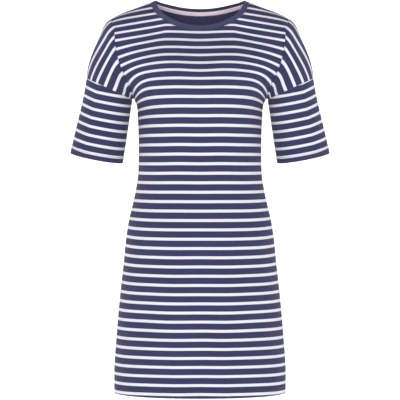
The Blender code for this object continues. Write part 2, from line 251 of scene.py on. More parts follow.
CREASES = {
    Face.FRONT: (
        Fold(0.176, -0.145, 0.140, -0.190, 0.006, -0.0016, 1),
        Fold(0.174, -0.150, 0.136, -0.198, 0.006, -0.0018, -1),
        Fold(0.150, -0.215, 0.112, -0.246, 0.006, -0.0014, 1),
        Fold(0.142, -0.262, 0.084, -0.300, 0.009, -0.0013, -1),
        Fold(0.140, -0.330, 0.070, -0.352, 0.010, -0.0013, 1),
        Fold(0.141, -0.392, 0.064, -0.372, 0.011, 0.0012, -1),
        Fold(0.052, -0.560, 0.060, -0.860, 0.022, 0.0018, 1),
        Fold(0.070, -0.600, 0.082, -0.880, 0.024, 0.0016, -1),
        Fold(0.112, -0.500, 0.136, -0.820, 0.018, -0.0020, 1),
        Fold(0.118, -0.520, 0.140, -0.840, 0.019, -0.0018, -1),
        Fold(0.020, -0.640, 0.008, -0.890, 0.020, -0.0014, 1),
    ),
    Face.BACK: (
        Fold(0.176, -0.150, 0.138, -0.200, 0.007, -0.0018, 1),
        Fold(0.172, -0.160, 0.130, -0.214, 0.007, -0.0018, -1),
        Fold(0.132, -0.300, 0.046, -0.330, 0.011, -0.0022, 1),
        Fold(0.128, -0.318, 0.030, -0.352, 0.012, -0.0024, -1),
        Fold(0.134, -0.392, 0.038, -0.404, 0.012, -0.0022, 1),
        Fold(0.120, -0.410, 0.020, -0.396, 0.011, 0.0018, -1),
        Fold(0.066, -0.560, 0.078, -0.870, 0.024, 0.0022, 1),
        Fold(0.058, -0.580, 0.070, -0.880, 0.022, 0.0020, -1),
        Fold(0.118, -0.520, 0.142, -0.850, 0.020, -0.0022, 1),
        Fold(0.014, -0.600, 0.004, -0.880, 0.024, -0.0018, -1),
    ),
}

# The front's stripes, from a least-squares fit to stripes traced in the photograph
STRIPE_LEVELS = (
    StripeLevel(stripe=-8, height=+0.0429, droop=0.0200, power=1.0, arch=0.0000),
    StripeLevel(stripe=-4, height=-0.0155, droop=0.0200, power=1.0, arch=0.0000),
    StripeLevel(stripe=-3, height=-0.0302, droop=0.0200, power=1.0, arch=0.0000),
    StripeLevel(stripe=-2, height=-0.0450, droop=0.0200, power=1.0, arch=0.0000),
    StripeLevel(stripe=-1, height=-0.0604, droop=0.0198, power=1.0, arch=0.0006),
    StripeLevel(stripe=0, height=-0.0771, droop=0.0193, power=1.0, arch=0.0018),
    StripeLevel(stripe=1, height=-0.0959, droop=0.0204, power=1.5, arch=0.0022),
    StripeLevel(stripe=2, height=-0.1135, droop=0.0217, power=1.75, arch=0.0016),
    StripeLevel(stripe=3, height=-0.1312, droop=0.0232, power=2.0, arch=0.0018),
    StripeLevel(stripe=4, height=-0.1491, droop=0.0235, power=2.5, arch=0.0019),
    StripeLevel(stripe=5, height=-0.1671, droop=0.0273, power=3.5, arch=0.0022),
    StripeLevel(stripe=6, height=-0.1850, droop=0.0335, power=4.0, arch=0.0009),
    StripeLevel(stripe=7, height=-0.2047, droop=0.0285, power=5.0, arch=0.0006),
    StripeLevel(stripe=8, height=-0.2257, droop=0.0129, power=4.0, arch=0.0004),
    StripeLevel(stripe=9, height=-0.2468, droop=0.0078, power=3.0, arch=0.0003),
    StripeLevel(stripe=10, height=-0.2685, droop=0.0040, power=4.0, arch=0.0004),
    StripeLevel(stripe=12, height=-0.3117, droop=0.0011, power=5.0, arch=0.0005),
    StripeLevel(stripe=15, height=-0.3765, droop=-0.0006, power=6.0, arch=0.0005),
    StripeLevel(stripe=18, height=-0.4407, droop=-0.0013, power=4.0, arch=0.0002),
    StripeLevel(stripe=20, height=-0.4831, droop=-0.0023, power=3.5, arch=0.0001),
    StripeLevel(stripe=23, height=-0.5460, droop=-0.0034, power=4.0, arch=-0.0002),
    StripeLevel(stripe=26, height=-0.6081, droop=-0.0027, power=5.0, arch=-0.0005),
    StripeLevel(stripe=30, height=-0.6907, droop=-0.0010, power=5.0, arch=-0.0005),
    StripeLevel(stripe=33, height=-0.7517, droop=0.0011, power=1.0, arch=-0.0008),
    StripeLevel(stripe=36, height=-0.8127, droop=0.0028, power=1.0, arch=-0.0007),
    StripeLevel(stripe=38, height=-0.8533, droop=0.0039, power=1.0, arch=-0.0008),
    StripeLevel(stripe=40, height=-0.8938, droop=0.0048, power=1.0, arch=-0.0011),
    StripeLevel(stripe=41, height=-0.9140, droop=0.0052, power=1.0, arch=-0.0011),
)

CAP_STRIPES = (
    CapStripe(stripe=-1.15, share=1.0, turn=-32.0),
    CapStripe(stripe=0.0, share=0.870, turn=-10.0),
    CapStripe(stripe=1.0, share=0.770, turn=16.0),
    CapStripe(stripe=2.0, share=0.676, turn=40.0),
    CapStripe(stripe=3.0, share=0.580, turn=60.0),
    CapStripe(stripe=4.0, share=0.464, turn=82.0),
    CapStripe(stripe=5.0, share=0.350, turn=104.5),
    CapStripe(stripe=6.0, share=0.245, turn=129.5),
    CapStripe(stripe=8.2, share=0.0, turn=180.0),
)

SLEEVE_SEAM_RING = Ring(
    centre=(0.2088, 0.0, -0.2035),
    across=(0.0523, 0.0, 0.0240),
    forward=(0.0, -0.066, -0.001),
)
SLEEVE_HEM_RING = Ring(
    centre=(0.2386, 0.0, -0.3622),
    across=(0.0594, 0.0, 0.0114),
    forward=(0.0, -0.0585, -0.0060),
)


def smooth(at: np.ndarray, table: Sequence[NamedTuple], column: str, by: str = "height") -> np.ndarray:
    """The smooth values of one column of a table at places on another column.

    Args:
        at: The places.
        table: The rows.
        column: The name of the column that is read.
        by: The name of the column that the places are on.

    Returns:
        One value for each place.
    """
    rows = sorted(table, key=lambda row: getattr(row, by))
    places = np.array([getattr(row, by) for row in rows])
    values = np.array([getattr(row, column) for row in rows])
    slopes = np.gradient(values, places)
    at = np.clip(at, places[0], places[-1])
    i = np.clip(np.searchsorted(places, at, side="right") - 1, 0, len(rows) - 2)
    span = places[i + 1] - places[i]
    s = (at - places[i]) / span
    start = values[i] * (1 + 2 * s) * (1 - s) ** 2 + slopes[i] * span * s * (1 - s) ** 2
    end = values[i + 1] * s * s * (3 - 2 * s) - slopes[i + 1] * span * s * s * (1 - s)
    return start + end


def unit(vectors: np.ndarray) -> np.ndarray:
    """The vectors at length 1."""
    lengths = np.linalg.norm(vectors, axis=-1, keepdims=True)
    return vectors / np.maximum(lengths, 1e-12)


def fold_rise(fold: Fold, x: np.ndarray, height: np.ndarray) -> np.ndarray:
    """How far a fold lifts the cloth: full along its middle, fading to its sides and ends.

    Args:
        fold: The fold, whose own side decides where it lies.
        x: Places across the body, signed.
        height: Heights of those places.

    Returns:
        The rise at each place.
    """
    run = (fold.x1 - fold.x0, fold.height1 - fold.height0)
    length = math.hypot(*run)
    off = (np.abs(x) - fold.x0, height - fold.height0)
    along = np.clip((off[0] * run[0] + off[1] * run[1]) / length**2, 0, 1)
    aside = (off[0] * run[1] - off[1] * run[0]) / length
    rise = fold.rise * np.sin(math.pi * along) ** 2 * np.exp(-((aside / fold.width) ** 2))
    if fold.sides:
        rise = rise * (x * fold.sides > 0)
    return rise


@dataclass
class WornForm:
    """The body's worn form, as the solids have it."""

    row_samples: int = 800

    def __post_init__(self) -> None:
        """Works out the armhole's heights at even steps along its own length."""
        turn = 0.5 - 0.5 * np.cos(math.pi * np.linspace(0, 1, self.row_samples))
        height = UNDERARM_HEIGHT + (SHOULDER_TIP_HEIGHT - UNDERARM_HEIGHT) * turn
        x = self.edge_x(height)
        depth = self.depth(x, height, Face.FRONT)
        steps = np.sqrt(np.diff(x) ** 2 + np.diff(depth) ** 2 + np.diff(height) ** 2)
        run = np.concatenate([[0], np.cumsum(steps)])
        self.armhole_share = run / run[-1]
        self.armhole_height = height

    def edge_x(self, height: np.ndarray) -> np.ndarray:
        """Half width of the body at the side seam or, above the underarm, at the armhole."""
        below = smooth(height, LEVELS, "half_width")
        above = smooth(height, ARMHOLE_EDGE, "x")
        return np.where(height <= UNDERARM_HEIGHT, below, above)

    def ridge_height(self, x: np.ndarray) -> np.ndarray:
        """Height of the shoulder line over a place, carried on inwards past the neck."""
        inner = NECK_POINT_HEIGHT + NECK_SIDE_SLOPE * (NECK_POINT_X - x)
        return np.where(x < NECK_POINT_X, inner, smooth(x, SHOULDER_RIDGE, "height", by="x"))

    def depth(self, x: np.ndarray, height: np.ndarray, face: Face) -> np.ndarray:
        """Distance of the front or back from the plane of the side seams.

        Args:
            x: Places across the half body, not negative.
            height: Their heights.
            face: The front or the back.

        Returns:
            The distances.
        """
        middle = smooth(height, LEVELS, face.value)
        closing = np.clip(1 - (height - UNDERARM_HEIGHT) / ARMHOLE_OPENING, 0, 1)
        widest = ARMHOLE_BACK if face is Face.BACK else ARMHOLE_FRONT
        at_edge = widest * np.sqrt(1 - closing**2)
        q = np.minimum(1.0, (x / self.edge_x(height)) ** SECTION_POWER)
        depth = np.sqrt(middle**2 * (1 - q) + at_edge**2 * q ** (1 + 2 * closing))
        for swell in SWELLS[face]:
            aside = (x - swell.x) / swell.width
            above = (height - swell.height) / swell.tall
            depth = depth + swell.rise * np.exp(-(aside**2) - above**2) * (1 - q)
        for fold in SOLID_FOLDS[face]:
            depth = depth + fold_rise(fold, x, height) * (1 - q**4)
        below_ridge = np.maximum(0.0, self.ridge_height(x) - height)
        round_over = np.maximum(0.0, 1 - below_ridge / SHOULDER_ROUNDING)
        return depth * np.sqrt(1 - round_over**2)

    def neckline(self, share: np.ndarray, face: Face) -> tuple[np.ndarray, np.ndarray]:
        """The neckline's half.

        Args:
            share: Shares of its length, 0 at the middle and 1 at the shoulder.
            face: The front or the back.

        Returns:
            x and height at each share.
        """
        turn = 0.5 * math.pi * np.linspace(0, 1, 400)
        x = NECK_POINT_X * np.sin(turn) ** (2 / NECKLINE_POWER)
        if face is Face.BACK:
            drop = (NECK_POINT_HEIGHT - BACK_NECK_HEIGHT) * (1 - (x / NECK_POINT_X) ** 2)
        else:
            cosine = np.maximum(0, np.cos(turn))
            drop = (NECK_POINT_HEIGHT - FRONT_NECK_HEIGHT) * cosine ** (2 / NECKLINE_POWER)
        height = NECK_POINT_HEIGHT - drop
        run = np.concatenate([[0], np.cumsum(np.hypot(np.diff(x), np.diff(height)))])
        run = run / run[-1]
        return np.interp(share, run, x), np.interp(share, run, height)

    def top_edge(self, column: np.ndarray, face: Face) -> tuple[np.ndarray, np.ndarray]:
        """x and height of the top edge, the neckline and then the shoulder, at columns of the solids."""
        neck_x, neck_height = self.neckline(np.clip(column / NECK_COLUMNS, 0, 1), face)
        out = np.clip((column - NECK_COLUMNS) / (SIDE_COLUMN - NECK_COLUMNS), 0, 1)
        shoulder_x = NECK_POINT_X + (SHOULDER_TIP_X - NECK_POINT_X) * out
        on_neck = column <= NECK_COLUMNS
        x = np.where(on_neck, neck_x, shoulder_x)
        return x, np.where(on_neck, neck_height, self.ridge_height(shoulder_x))

    def side_height(self, row: np.ndarray) -> np.ndarray:
        """Height at the side of rows of the solids."""
        below = HEM_HEIGHT + (UNDERARM_HEIGHT - HEM_HEIGHT) * row / UNDERARM_ROW
        share = np.clip((row - UNDERARM_ROW) / (TOP_ROW - UNDERARM_ROW), 0, 1)
        above = np.interp(share, self.armhole_share, self.armhole_height)
        return np.where(row <= UNDERARM_ROW, below, above)

    def place(self, column: np.ndarray, row: np.ndarray, face: Face) -> np.ndarray:
        """Points of the front or back.

        Args:
            column: Columns of the solids, 0 in the middle, negative on the right side.
            row: Rows of the solids, 0 at the hem.
            face: The front or the back.

        Returns:
            An array with x, y and z last.
        """
        side = np.where(column < 0, -1.0, 1.0)
        column = np.abs(column)
        side_height = self.side_height(row)
        top_x, top_height = self.top_edge(column, face)
        neck_height = BACK_NECK_HEIGHT if face is Face.BACK else FRONT_NECK_HEIGHT
        span = SHOULDER_TIP_HEIGHT - UNDERARM_HEIGHT
        rise = np.clip((side_height - UNDERARM_HEIGHT) / span, 0, 1)
        middle_height = side_height + rise * (neck_height - SHOULDER_TIP_HEIGHT)
        outwards = np.sin(0.5 * math.pi * column / SIDE_COLUMN)
        x = outwards * self.edge_x(side_height)
        height = middle_height + outwards * (side_height - middle_height)
        up = np.maximum(0.0, row / TOP_ROW - TOP_SHAPE_START) / (1 - TOP_SHAPE_START)
        shape = up**TOP_SHAPE_POWER
        x = x + shape * (top_x - outwards * SHOULDER_TIP_X)
        level_top = neck_height + outwards * (SHOULDER_TIP_HEIGHT - neck_height)
        height = height + shape * (top_height - level_top)
        depth = self.depth(x, height, face)
        y = depth if face is Face.BACK else -depth
        return np.stack([side * x, y, height], axis=-1)


@dataclass
class ClothGrid:
    """A sheet of cloth as rows and columns of points, whose faces look out of the garment.

    Attributes:
        points: Rows by columns by 3.
        stripes: The stripe number of each point.
        turned: Whether the knit's columns run across the grid's columns.
        hem: How much of the turned-up hem each point has, from 0 to 1.
    """

    points: np.ndarray
    stripes: np.ndarray
    turned: bool = False
    hem: np.ndarray = field(default_factory=lambda: np.zeros(0))

    def normals(self) -> np.ndarray:
        """The outward normals."""
        return unit(np.cross(np.gradient(self.points, axis=1), np.gradient(self.points, axis=0)))

    def run_along_rows(self) -> np.ndarray:
        """Distance of each point from the first column, along its row."""
        steps = np.linalg.norm(np.diff(self.points, axis=1), axis=-1)
        return np.concatenate([np.zeros((len(steps), 1)), np.cumsum(steps, axis=1)], axis=1)

    def run_along_columns(self) -> np.ndarray:
        """Distance of each point from the first row, along its column."""
        steps = np.linalg.norm(np.diff(self.points, axis=0), axis=-1)
        return np.concatenate([np.zeros((1, steps.shape[1])), np.cumsum(steps, axis=0)], axis=0)

    def lift(self, rise: np.ndarray) -> None:
        """Moves every point outwards by its rise."""
        self.points = self.points + self.normals() * rise[..., None]

    def line_across(self, distance: float, out: float, from_last: bool = False) -> np.ndarray:
        """A line over all columns at one distance from the first or last row.

        Args:
            distance: Distance from that row along the cloth.
            out: How far the line lies outside the cloth.
            from_last: Whether the distance counts from the last row.

        Returns:
            One point for each column.
        """
        run = self.run_along_columns()
        lifted = self.points + self.normals() * out
        line = []
        for c in range(run.shape[1]):
            at = run[-1, c] - distance if from_last else distance
            line.append([np.interp(at, run[:, c], lifted[:, c, k]) for k in range(3)])
        return np.array(line)

    def make(self, name: str) -> bpy.types.Object:
        """Makes the mesh object, with its UV map, its stripe numbers and its hem's vertex group.

        Args:
            name: The object's name.

        Returns:
            The new object, linked to the scene.
        """
        rows, columns = self.stripes.shape
        index = np.arange(rows * columns).reshape(rows, columns)
        corners = (index[:-1, :-1], index[:-1, 1:], index[1:, 1:], index[1:, :-1])
        faces = np.stack(corners, axis=-1).reshape(-1, 4)
        mesh = bpy.data.meshes.new(name)
        mesh.from_pydata(self.points.reshape(-1, 3).tolist(), [], faces.tolist())
        along_rows = self.run_along_rows()
        along_rows = along_rows - along_rows[:, columns // 2][:, None]
        pair = (along_rows, self.run_along_columns())
        if self.turned:
            pair = pair[::-1]
        uv = np.stack([value.ravel() for value in pair], axis=-1)
        layer = mesh.uv_layers.new(name=UV_NAME)
        layer.data.foreach_set("uv", uv[faces.ravel()].astype(np.float32).ravel())
        attribute = mesh.attributes.new(STRIPE_NAME, "FLOAT", "POINT")
        attribute.data.foreach_set("value", self.stripes.ravel().astype(np.float32))
        mesh.shade_smooth()
        mesh.update()
        result = bpy.data.objects.new(name, mesh)
        bpy.context.scene.collection.objects.link(result)
        if self.hem.size:
            group = result.vertex_groups.new(name=HEM_GROUP)
            for vertex, weight in enumerate(self.hem.ravel()):
                if weight > 0.01:
                    group.add([vertex], float(weight), "REPLACE")
        return result


class NodeTree:
    """Short ways to add and join nodes of one tree."""

    def __init__(self, tree: bpy.types.NodeTree) -> None:
        """Keeps the tree."""
        self.tree = tree

    def add(self, kind: str, **settings: object) -> bpy.types.Node:
        """Adds a node and sets its properties.

        Args:
            kind: The node's type name.
            **settings: Properties of the node.

        Returns:
            The node.
        """
        node = self.tree.nodes.new(kind)
        for key, value in settings.items():
            setattr(node, key, value)
        return node

    def put(self, source: object, target: bpy.types.NodeSocket) -> None:
        """Joins a socket to another, or sets a plain value."""
        if isinstance(source, bpy.types.NodeSocket):
            self.tree.links.new(source, target)
        else:
            target.default_value = source

    def math(self, operation: str, *values: object) -> bpy.types.NodeSocket:
        """A math node over one to three values or sockets.

        Args:
            operation: The operation's name.
            *values: Its inputs.

        Returns:
            The result's socket.
        """
        node = self.add("ShaderNodeMath", operation=operation)
        for value, socket in zip(values, node.inputs):
            self.put(value, socket)
        return node.outputs[0]

    def noise(self, vector: object, scale: float, detail: float = 2.0) -> bpy.types.NodeSocket:
        """A noise value on a vector, from 0 to 1."""
        node = self.add("ShaderNodeTexNoise")
        self.put(vector, node.inputs["Vector"])
        node.inputs["Scale"].default_value = scale
        node.inputs["Detail"].default_value = detail
        return node.outputs["Fac"]

    def mix(self, share: object, first: object, second: object) -> bpy.types.NodeSocket:
        """A mix of two colours.

        Args:
            share: How much of the second.
            first: The first colour or socket.
            second: The second colour or socket.

        Returns:
            The mixed colour's socket.
        """
        node = self.add("ShaderNodeMix", data_type="RGBA")
        self.put(share, node.inputs[0])
        self.put(first, node.inputs[6])
        self.put(second, node.inputs[7])
        return node.outputs[2]

    def between(self, value: object, low: float, high: float) -> bpy.types.NodeSocket:
        """A smooth step from 0 at the low value to 1 at the high one."""
        node = self.add("ShaderNodeMapRange", interpolation_type="SMOOTHSTEP")
        self.put(value, node.inputs["Value"])
        node.inputs["From Min"].default_value = low
        node.inputs["From Max"].default_value = high
        return node.outputs["Result"]


Colour = tuple[float, float, float, float]


@dataclass(frozen=True)
class ClothFinish:
    """What every cloth here shares: a matt, slightly fuzzy surface with soft shade changes.

    Attributes:
        name: The material's name.
        colour: The cloth's main colour.
        roughness: The shader's roughness.
        sheen: How much fuzz catches the light.
        shade_change: How much the colour varies from place to place.
        relief: The depth of the surface's texture.
    """

    name: str
    colour: Colour
    roughness: float = 0.85
    sheen: float = 0.06
    shade_change: float = 0.10
    relief: float = 0.0004

    def start(self) -> tuple[bpy.types.Material, NodeTree, bpy.types.Node]:
        """The material, its tree and its shader with the plain values set."""
        material = bpy.data.materials.new(self.name)
        material.use_nodes = True
        nodes = NodeTree(material.node_tree)
        shader = material.node_tree.nodes["Principled BSDF"]
        shader.inputs["Roughness"].default_value = self.roughness
        shader.inputs["Sheen Weight"].default_value = self.sheen
        shader.inputs["Sheen Roughness"].default_value = 0.5
        shader.inputs["Specular IOR Level"].default_value = 0.25
        return material, nodes, shader

    def cloth_axes(self, nodes: NodeTree) -> tuple[bpy.types.NodeSocket, bpy.types.NodeSocket]:
        """Distance across and along the cloth, in metres, from the UV map."""
        uv = nodes.add("ShaderNodeUVMap", uv_map=UV_NAME)
        split = nodes.add("ShaderNodeSeparateXYZ")
        nodes.put(uv.outputs[0], split.inputs[0])
        return split.outputs[0], split.outputs[1]

    def shaded(self, nodes: NodeTree, colour: object) -> bpy.types.NodeSocket:
        """The colour with soft changes of shade over the cloth and fine flecks of fibre."""
        place = nodes.add("ShaderNodeTexCoord").outputs["Object"]
        broad = nodes.noise(place, 9.0)
        fleck = nodes.noise(place, 1400.0, 1.0)
        change = nodes.math("MULTIPLY", nodes.math("SUBTRACT", broad, 0.5), self.shade_change * 2)
        fine = nodes.math("MULTIPLY", nodes.math("SUBTRACT", fleck, 0.5), self.shade_change)
        value = nodes.math("ADD", nodes.math("ADD", change, fine), 1.0)
        node = nodes.add("ShaderNodeHueSaturation")
        nodes.put(value, node.inputs["Value"])
        nodes.put(colour, node.inputs["Color"])
        return node.outputs[0]

    def bump(self, nodes: NodeTree, height: object, shader: bpy.types.Node) -> None:
        """Gives the shader its relief from a height of 0 to 1."""
        node = nodes.add("ShaderNodeBump")
        node.inputs["Strength"].default_value = 0.6
        node.inputs["Distance"].default_value = self.relief
        nodes.put(height, node.inputs["Height"])
        nodes.put(node.outputs[0], shader.inputs["Normal"])


@dataclass(frozen=True)
class Jersey(ClothFinish):
    """Plain weft-knitted jersey: columns of small V stitches.

    Attributes:
        wale: Width of one column of stitches.
        course: Height of one stitch.
    """

    wale: float = 0.0011
    course: float = 0.0009

    def knit(self, nodes: NodeTree) -> tuple[bpy.types.NodeSocket, bpy.types.NodeSocket]:
        """The stitches' height, and how far each place is from its column's middle, from 0 to 1."""
        across, along = self.cloth_axes(nodes)
        wave = nodes.math("PINGPONG", nodes.math("DIVIDE", across, self.wale), 0.5)
        aside = nodes.math("MULTIPLY", wave, 2.0)
        lifted = nodes.math("ADD", nodes.math("DIVIDE", along, self.course), aside)
        stitch = nodes.math("MULTIPLY", nodes.math("PINGPONG", lifted, 0.5), 2.0)
        groove = nodes.math("SUBTRACT", 1.0, nodes.math("POWER", aside, 4.0))
        return nodes.math("MULTIPLY", stitch, groove), aside

    def make(self) -> bpy.types.Material:
        """The plain knitted material."""
        material, nodes, shader = self.start()
        height, _ = self.knit(nodes)
        # Painted shade: the knit's grooves are painted darker than its stitches
        deep = darker(self.colour, JERSEY_GROOVE_SHADE)
        colour = nodes.mix(height, deep, self.colour)
        nodes.put(self.shaded(nodes, colour), shader.inputs["Base Color"])
        self.bump(nodes, height, shader)
        return material


@dataclass(frozen=True)
class StripedJersey(Jersey):
    """Jersey knitted in two colours, with a narrow pale stripe on a dark ground.

    Attributes:
        stripe_colour: The pale stripe's colour.
        stripe_share: The stripe's share of one repeat.
        edge: Softness of the stripe's edge, as a share of the repeat.
    """

    stripe_colour: Colour = (0.71, 0.71, 0.78, 1.0)
    stripe_share: float = 0.325
    edge: float = 0.022

    def make(self) -> bpy.types.Material:
        """The striped material, which reads the stripe number of each point."""
        material, nodes, shader = self.start()
        height, aside = self.knit(nodes)
        number = nodes.add("ShaderNodeAttribute", attribute_name=STRIPE_NAME).outputs["Fac"]
        from_middle = nodes.math("PINGPONG", number, 0.5)
        stepped = nodes.math("ADD", from_middle, nodes.math("MULTIPLY", aside, 0.012))
        half = self.stripe_share / 2
        ground = nodes.between(stepped, half - self.edge, half + self.edge)
        # Painted shade: the knit's grooves are painted darker, on the navy ground and on the pale stripe
        deep = darker(self.colour, JERSEY_GROOVE_SHADE)
        shadow = darker(self.stripe_colour, PALE_GROOVE_SHADE)
        dark = nodes.mix(height, deep, self.colour)
        pale = nodes.mix(height, shadow, self.stripe_colour)
        colour = nodes.mix(ground, pale, self.shaded(nodes, dark))
        nodes.put(colour, shader.inputs["Base Color"])
        self.bump(nodes, height, shader)
        return material


@dataclass(frozen=True)
class Rib(ClothFinish):
    """Fine rib: raised lines across the band with narrow grooves between them.

    Attributes:
        pitch: Distance from one rib to the next.
    """

    pitch: float = 0.0023

    def make(self) -> bpy.types.Material:
        """The ribbed material."""
        material, nodes, shader = self.start()
        across, _ = self.cloth_axes(nodes)
        wave = nodes.math("PINGPONG", nodes.math("DIVIDE", across, self.pitch), 0.5)
        ridge = nodes.between(nodes.math("MULTIPLY", wave, 2.0), 0.05, 0.75)
        # Painted shade: the grooves between the ribs are painted darker
        deep = darker(self.colour, RIB_GROOVE_SHADE)
        colour = nodes.mix(ridge, deep, self.colour)
        nodes.put(self.shaded(nodes, colour), shader.inputs["Base Color"])
        self.bump(nodes, ridge, shader)
        return material


@dataclass(frozen=True)
class Twill(ClothFinish):
    """Woven tape with slanting lines.

    Attributes:
        pitch: Distance from one slanting line to the next.
    """

    pitch: float = 0.0009

    def make(self) -> bpy.types.Material:
        """The twill material."""
        material, nodes, shader = self.start()
        across, along = self.cloth_axes(nodes)
        slant = nodes.math("DIVIDE", nodes.math("ADD", across, along), self.pitch)
        line = nodes.math("MULTIPLY", nodes.math("PINGPONG", slant, 0.5), 2.0)
        # Painted shade: the grooves beside the twill's slanting lines are painted darker
        deep = darker(self.colour, TWILL_GROOVE_SHADE)
        colour = nodes.mix(line, deep, self.colour)
        nodes.put(self.shaded(nodes, colour), shader.inputs["Base Color"])
        self.bump(nodes, line, shader)
        return material


@dataclass(frozen=True)
class Thread(ClothFinish):
    """Twisted sewing thread."""

    def make(self) -> bpy.types.Material:
        """The thread's material, with fine light and dark twists."""
        material, nodes, shader = self.start()
        nodes.put(self.shaded(nodes, self.colour), shader.inputs["Base Color"])
        place = nodes.add("ShaderNodeTexCoord").outputs["Object"]
        self.bump(nodes, nodes.noise(place, 2500.0), shader)
        return material


NAVY: Colour = (0.0345, 0.0360, 0.103, 1.0)
RIB_NAVY: Colour = (0.056, 0.056, 0.132, 1.0)
INNER_NAVY: Colour = (0.066, 0.065, 0.150, 1.0)
PINK: Colour = (1.0, 0.86, 0.96, 1.0)


class Wardrobe:
    """The garment's finishes, each made once."""

    def __init__(self) -> None:
        """Makes the materials."""
        self.striped = StripedJersey("striped jersey", NAVY).make()
        self.plain = Jersey("navy jersey", INNER_NAVY, relief=0.0003).make()
        self.rib = Rib("navy rib", RIB_NAVY, relief=0.0006).make()
        self.tape = Twill("pink twill tape", PINK, sheen=0.1, shade_change=0.02, relief=0.00012).make()
        self.navy_thread = Thread("navy thread", (0.030, 0.030, 0.080, 1.0), roughness=0.5).make()
        self.pink_thread = Thread("pink thread", (0.74, 0.60, 0.66, 1.0), roughness=0.5).make()


@dataclass
class StitchRun:
    """A run of machine stitches along a line, made by Geometry Nodes.

    Attributes:
        pitch: Distance from one stitch to the next.
        length: Length of one stitch.
        radius: Half of the thread's thickness.
    """

    pitch: float = 0.0032
    length: float = 0.0027
    radius: float = 0.00032

    def tree(self, thread: bpy.types.Material) -> bpy.types.NodeTree:
        """The node tree: a line, cut at even steps, with a stitch laid along it at each.

        Args:
            thread: The thread's material.

        Returns:
            The tree, with named inputs for the pitch, the length and the radius.
        """
        tree = bpy.data.node_groups.new("stitch run", "GeometryNodeTree")
        face = tree.interface
        face.new_socket("Line", in_out="INPUT", socket_type="NodeSocketGeometry")
        for name in ("Pitch", "Length", "Radius"):
            face.new_socket(name, in_out="INPUT", socket_type="NodeSocketFloat")
        face.new_socket("Stitches", in_out="OUTPUT", socket_type="NodeSocketGeometry")
        nodes = NodeTree(tree)
        given = nodes.add("NodeGroupInput").outputs
        curve = nodes.add("GeometryNodeMeshToCurve")
        nodes.put(given["Line"], curve.inputs["Mesh"])
        steps = nodes.add("GeometryNodeResampleCurve", mode="LENGTH")
        nodes.put(curve.outputs["Curve"], steps.inputs["Curve"])
        nodes.put(given["Pitch"], steps.inputs["Length"])
        way = nodes.add("GeometryNodeInputTangent")
        turn = nodes.add("FunctionNodeAlignRotationToVector", axis="X")
        nodes.put(way.outputs[0], turn.inputs["Vector"])
        size = nodes.add("ShaderNodeCombineXYZ")
        nodes.put(nodes.math("MULTIPLY", given["Length"], 0.5), size.inputs["X"])
        nodes.put(given["Radius"], size.inputs["Y"])
        nodes.put(given["Radius"], size.inputs["Z"])
        ball = nodes.add("GeometryNodeMeshUVSphere")
        ball.inputs["Segments"].default_value = 6
        ball.inputs["Rings"].default_value = 4
        ball.inputs["Radius"].default_value = 1.0
        laid = nodes.add("GeometryNodeInstanceOnPoints")
        nodes.put(steps.outputs["Curve"], laid.inputs["Points"])
        nodes.put(ball.outputs["Mesh"], laid.inputs["Instance"])
        nodes.put(turn.outputs["Rotation"], laid.inputs["Rotation"])
        nodes.put(size.outputs[0], laid.inputs["Scale"])
        real = nodes.add("GeometryNodeRealizeInstances")
        nodes.put(laid.outputs[0], real.inputs[0])
        painted = nodes.add("GeometryNodeSetMaterial")
        painted.inputs["Material"].default_value = thread
        nodes.put(real.outputs[0], painted.inputs["Geometry"])
        result = nodes.add("NodeGroupOutput")
        nodes.put(painted.outputs[0], result.inputs[0])
        return tree

    def sew(self, name: str, lines: Sequence[np.ndarray], thread: bpy.types.Material) -> bpy.types.Object:
        """Sews stitches along lines.

        Args:
            name: The new piece's name.
            lines: The lines' points.
            thread: The thread's material.

        Returns:
            One plain mesh object with all the stitches.
        """
        points: list[list[float]] = []
        edges: list[tuple[int, int]] = []
        for line in lines:
            first = len(points)
            points += line.tolist()
            edges += [(first + i, first + i + 1) for i in range(len(line) - 1)]
        guide_mesh = bpy.data.meshes.new(name + " guide")
        guide_mesh.from_pydata(points, edges, [])
        guide = bpy.data.objects.new(name + " guide", guide_mesh)
        bpy.context.scene.collection.objects.link(guide)
        modifier = guide.modifiers.new("stitches", "NODES")
        tree = self.tree(thread)
        modifier.node_group = tree
        values = {"Pitch": self.pitch, "Length": self.length, "Radius": self.radius}
        for item in tree.interface.items_tree:
            if item.name in values:
                modifier[item.identifier] = values[item.name]
        evaluated = guide.evaluated_get(bpy.context.evaluated_depsgraph_get())
        mesh = bpy.data.meshes.new_from_object(evaluated)
        bpy.data.objects.remove(guide)
        mesh.name = name
        mesh.shade_smooth()
        result = bpy.data.objects.new(name, mesh)
        bpy.context.scene.collection.objects.link(result)
        return result


@dataclass
class Piece:
    """What every cloth piece does once its grid is made.

    Attributes:
        wall: Thickness of the cloth.
        hem_wall: Thickness of the turned-up hem.
    """

    wall: float = 0.0013
    hem_wall: float = 0.0022

    def finish(
        self, grid: ClothGrid, name: str, node: str, slot: str, cloth: bpy.types.Material
    ) -> bpy.types.Object:
        """Makes the piece, gives it its wall and its cloth, and puts it in its solid's place.

        Args:
            grid: The sheet.
            name: The piece's name.
            node: The solid that it stands for.
            slot: The record's material slot.
            cloth: The material.

        Returns:
            The piece.
        """
        result = grid.make(name)
        modifier = result.modifiers.new("wall", "SOLIDIFY")
        modifier.offset = 0.0
        modifier.thickness = self.wall
        if grid.hem.size:
            modifier.thickness = self.hem_wall
            modifier.vertex_group = HEM_GROUP
            modifier.thickness_vertex_group = self.wall / self.hem_wall
        result.data.materials.append(cloth)
        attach(result, "root")
        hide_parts(node)
        LOG.info("%s: %d faces on the sheet", name, len(result.data.polygons))
        return result

    def trim(self, piece: bpy.types.Object, slot: str) -> bpy.types.Object:
        """Lets stitches ride with the garment."""
        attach(piece, "root")
        LOG.info("%s: %d faces", piece.name, len(piece.data.polygons))
        return piece


def needle_lines(depth: float, gap: float) -> tuple[float, float]:
    """Distances from the edge of a hem's two rows of stitches."""
    first = depth - NEEDLE_INSET
    return first, first - gap


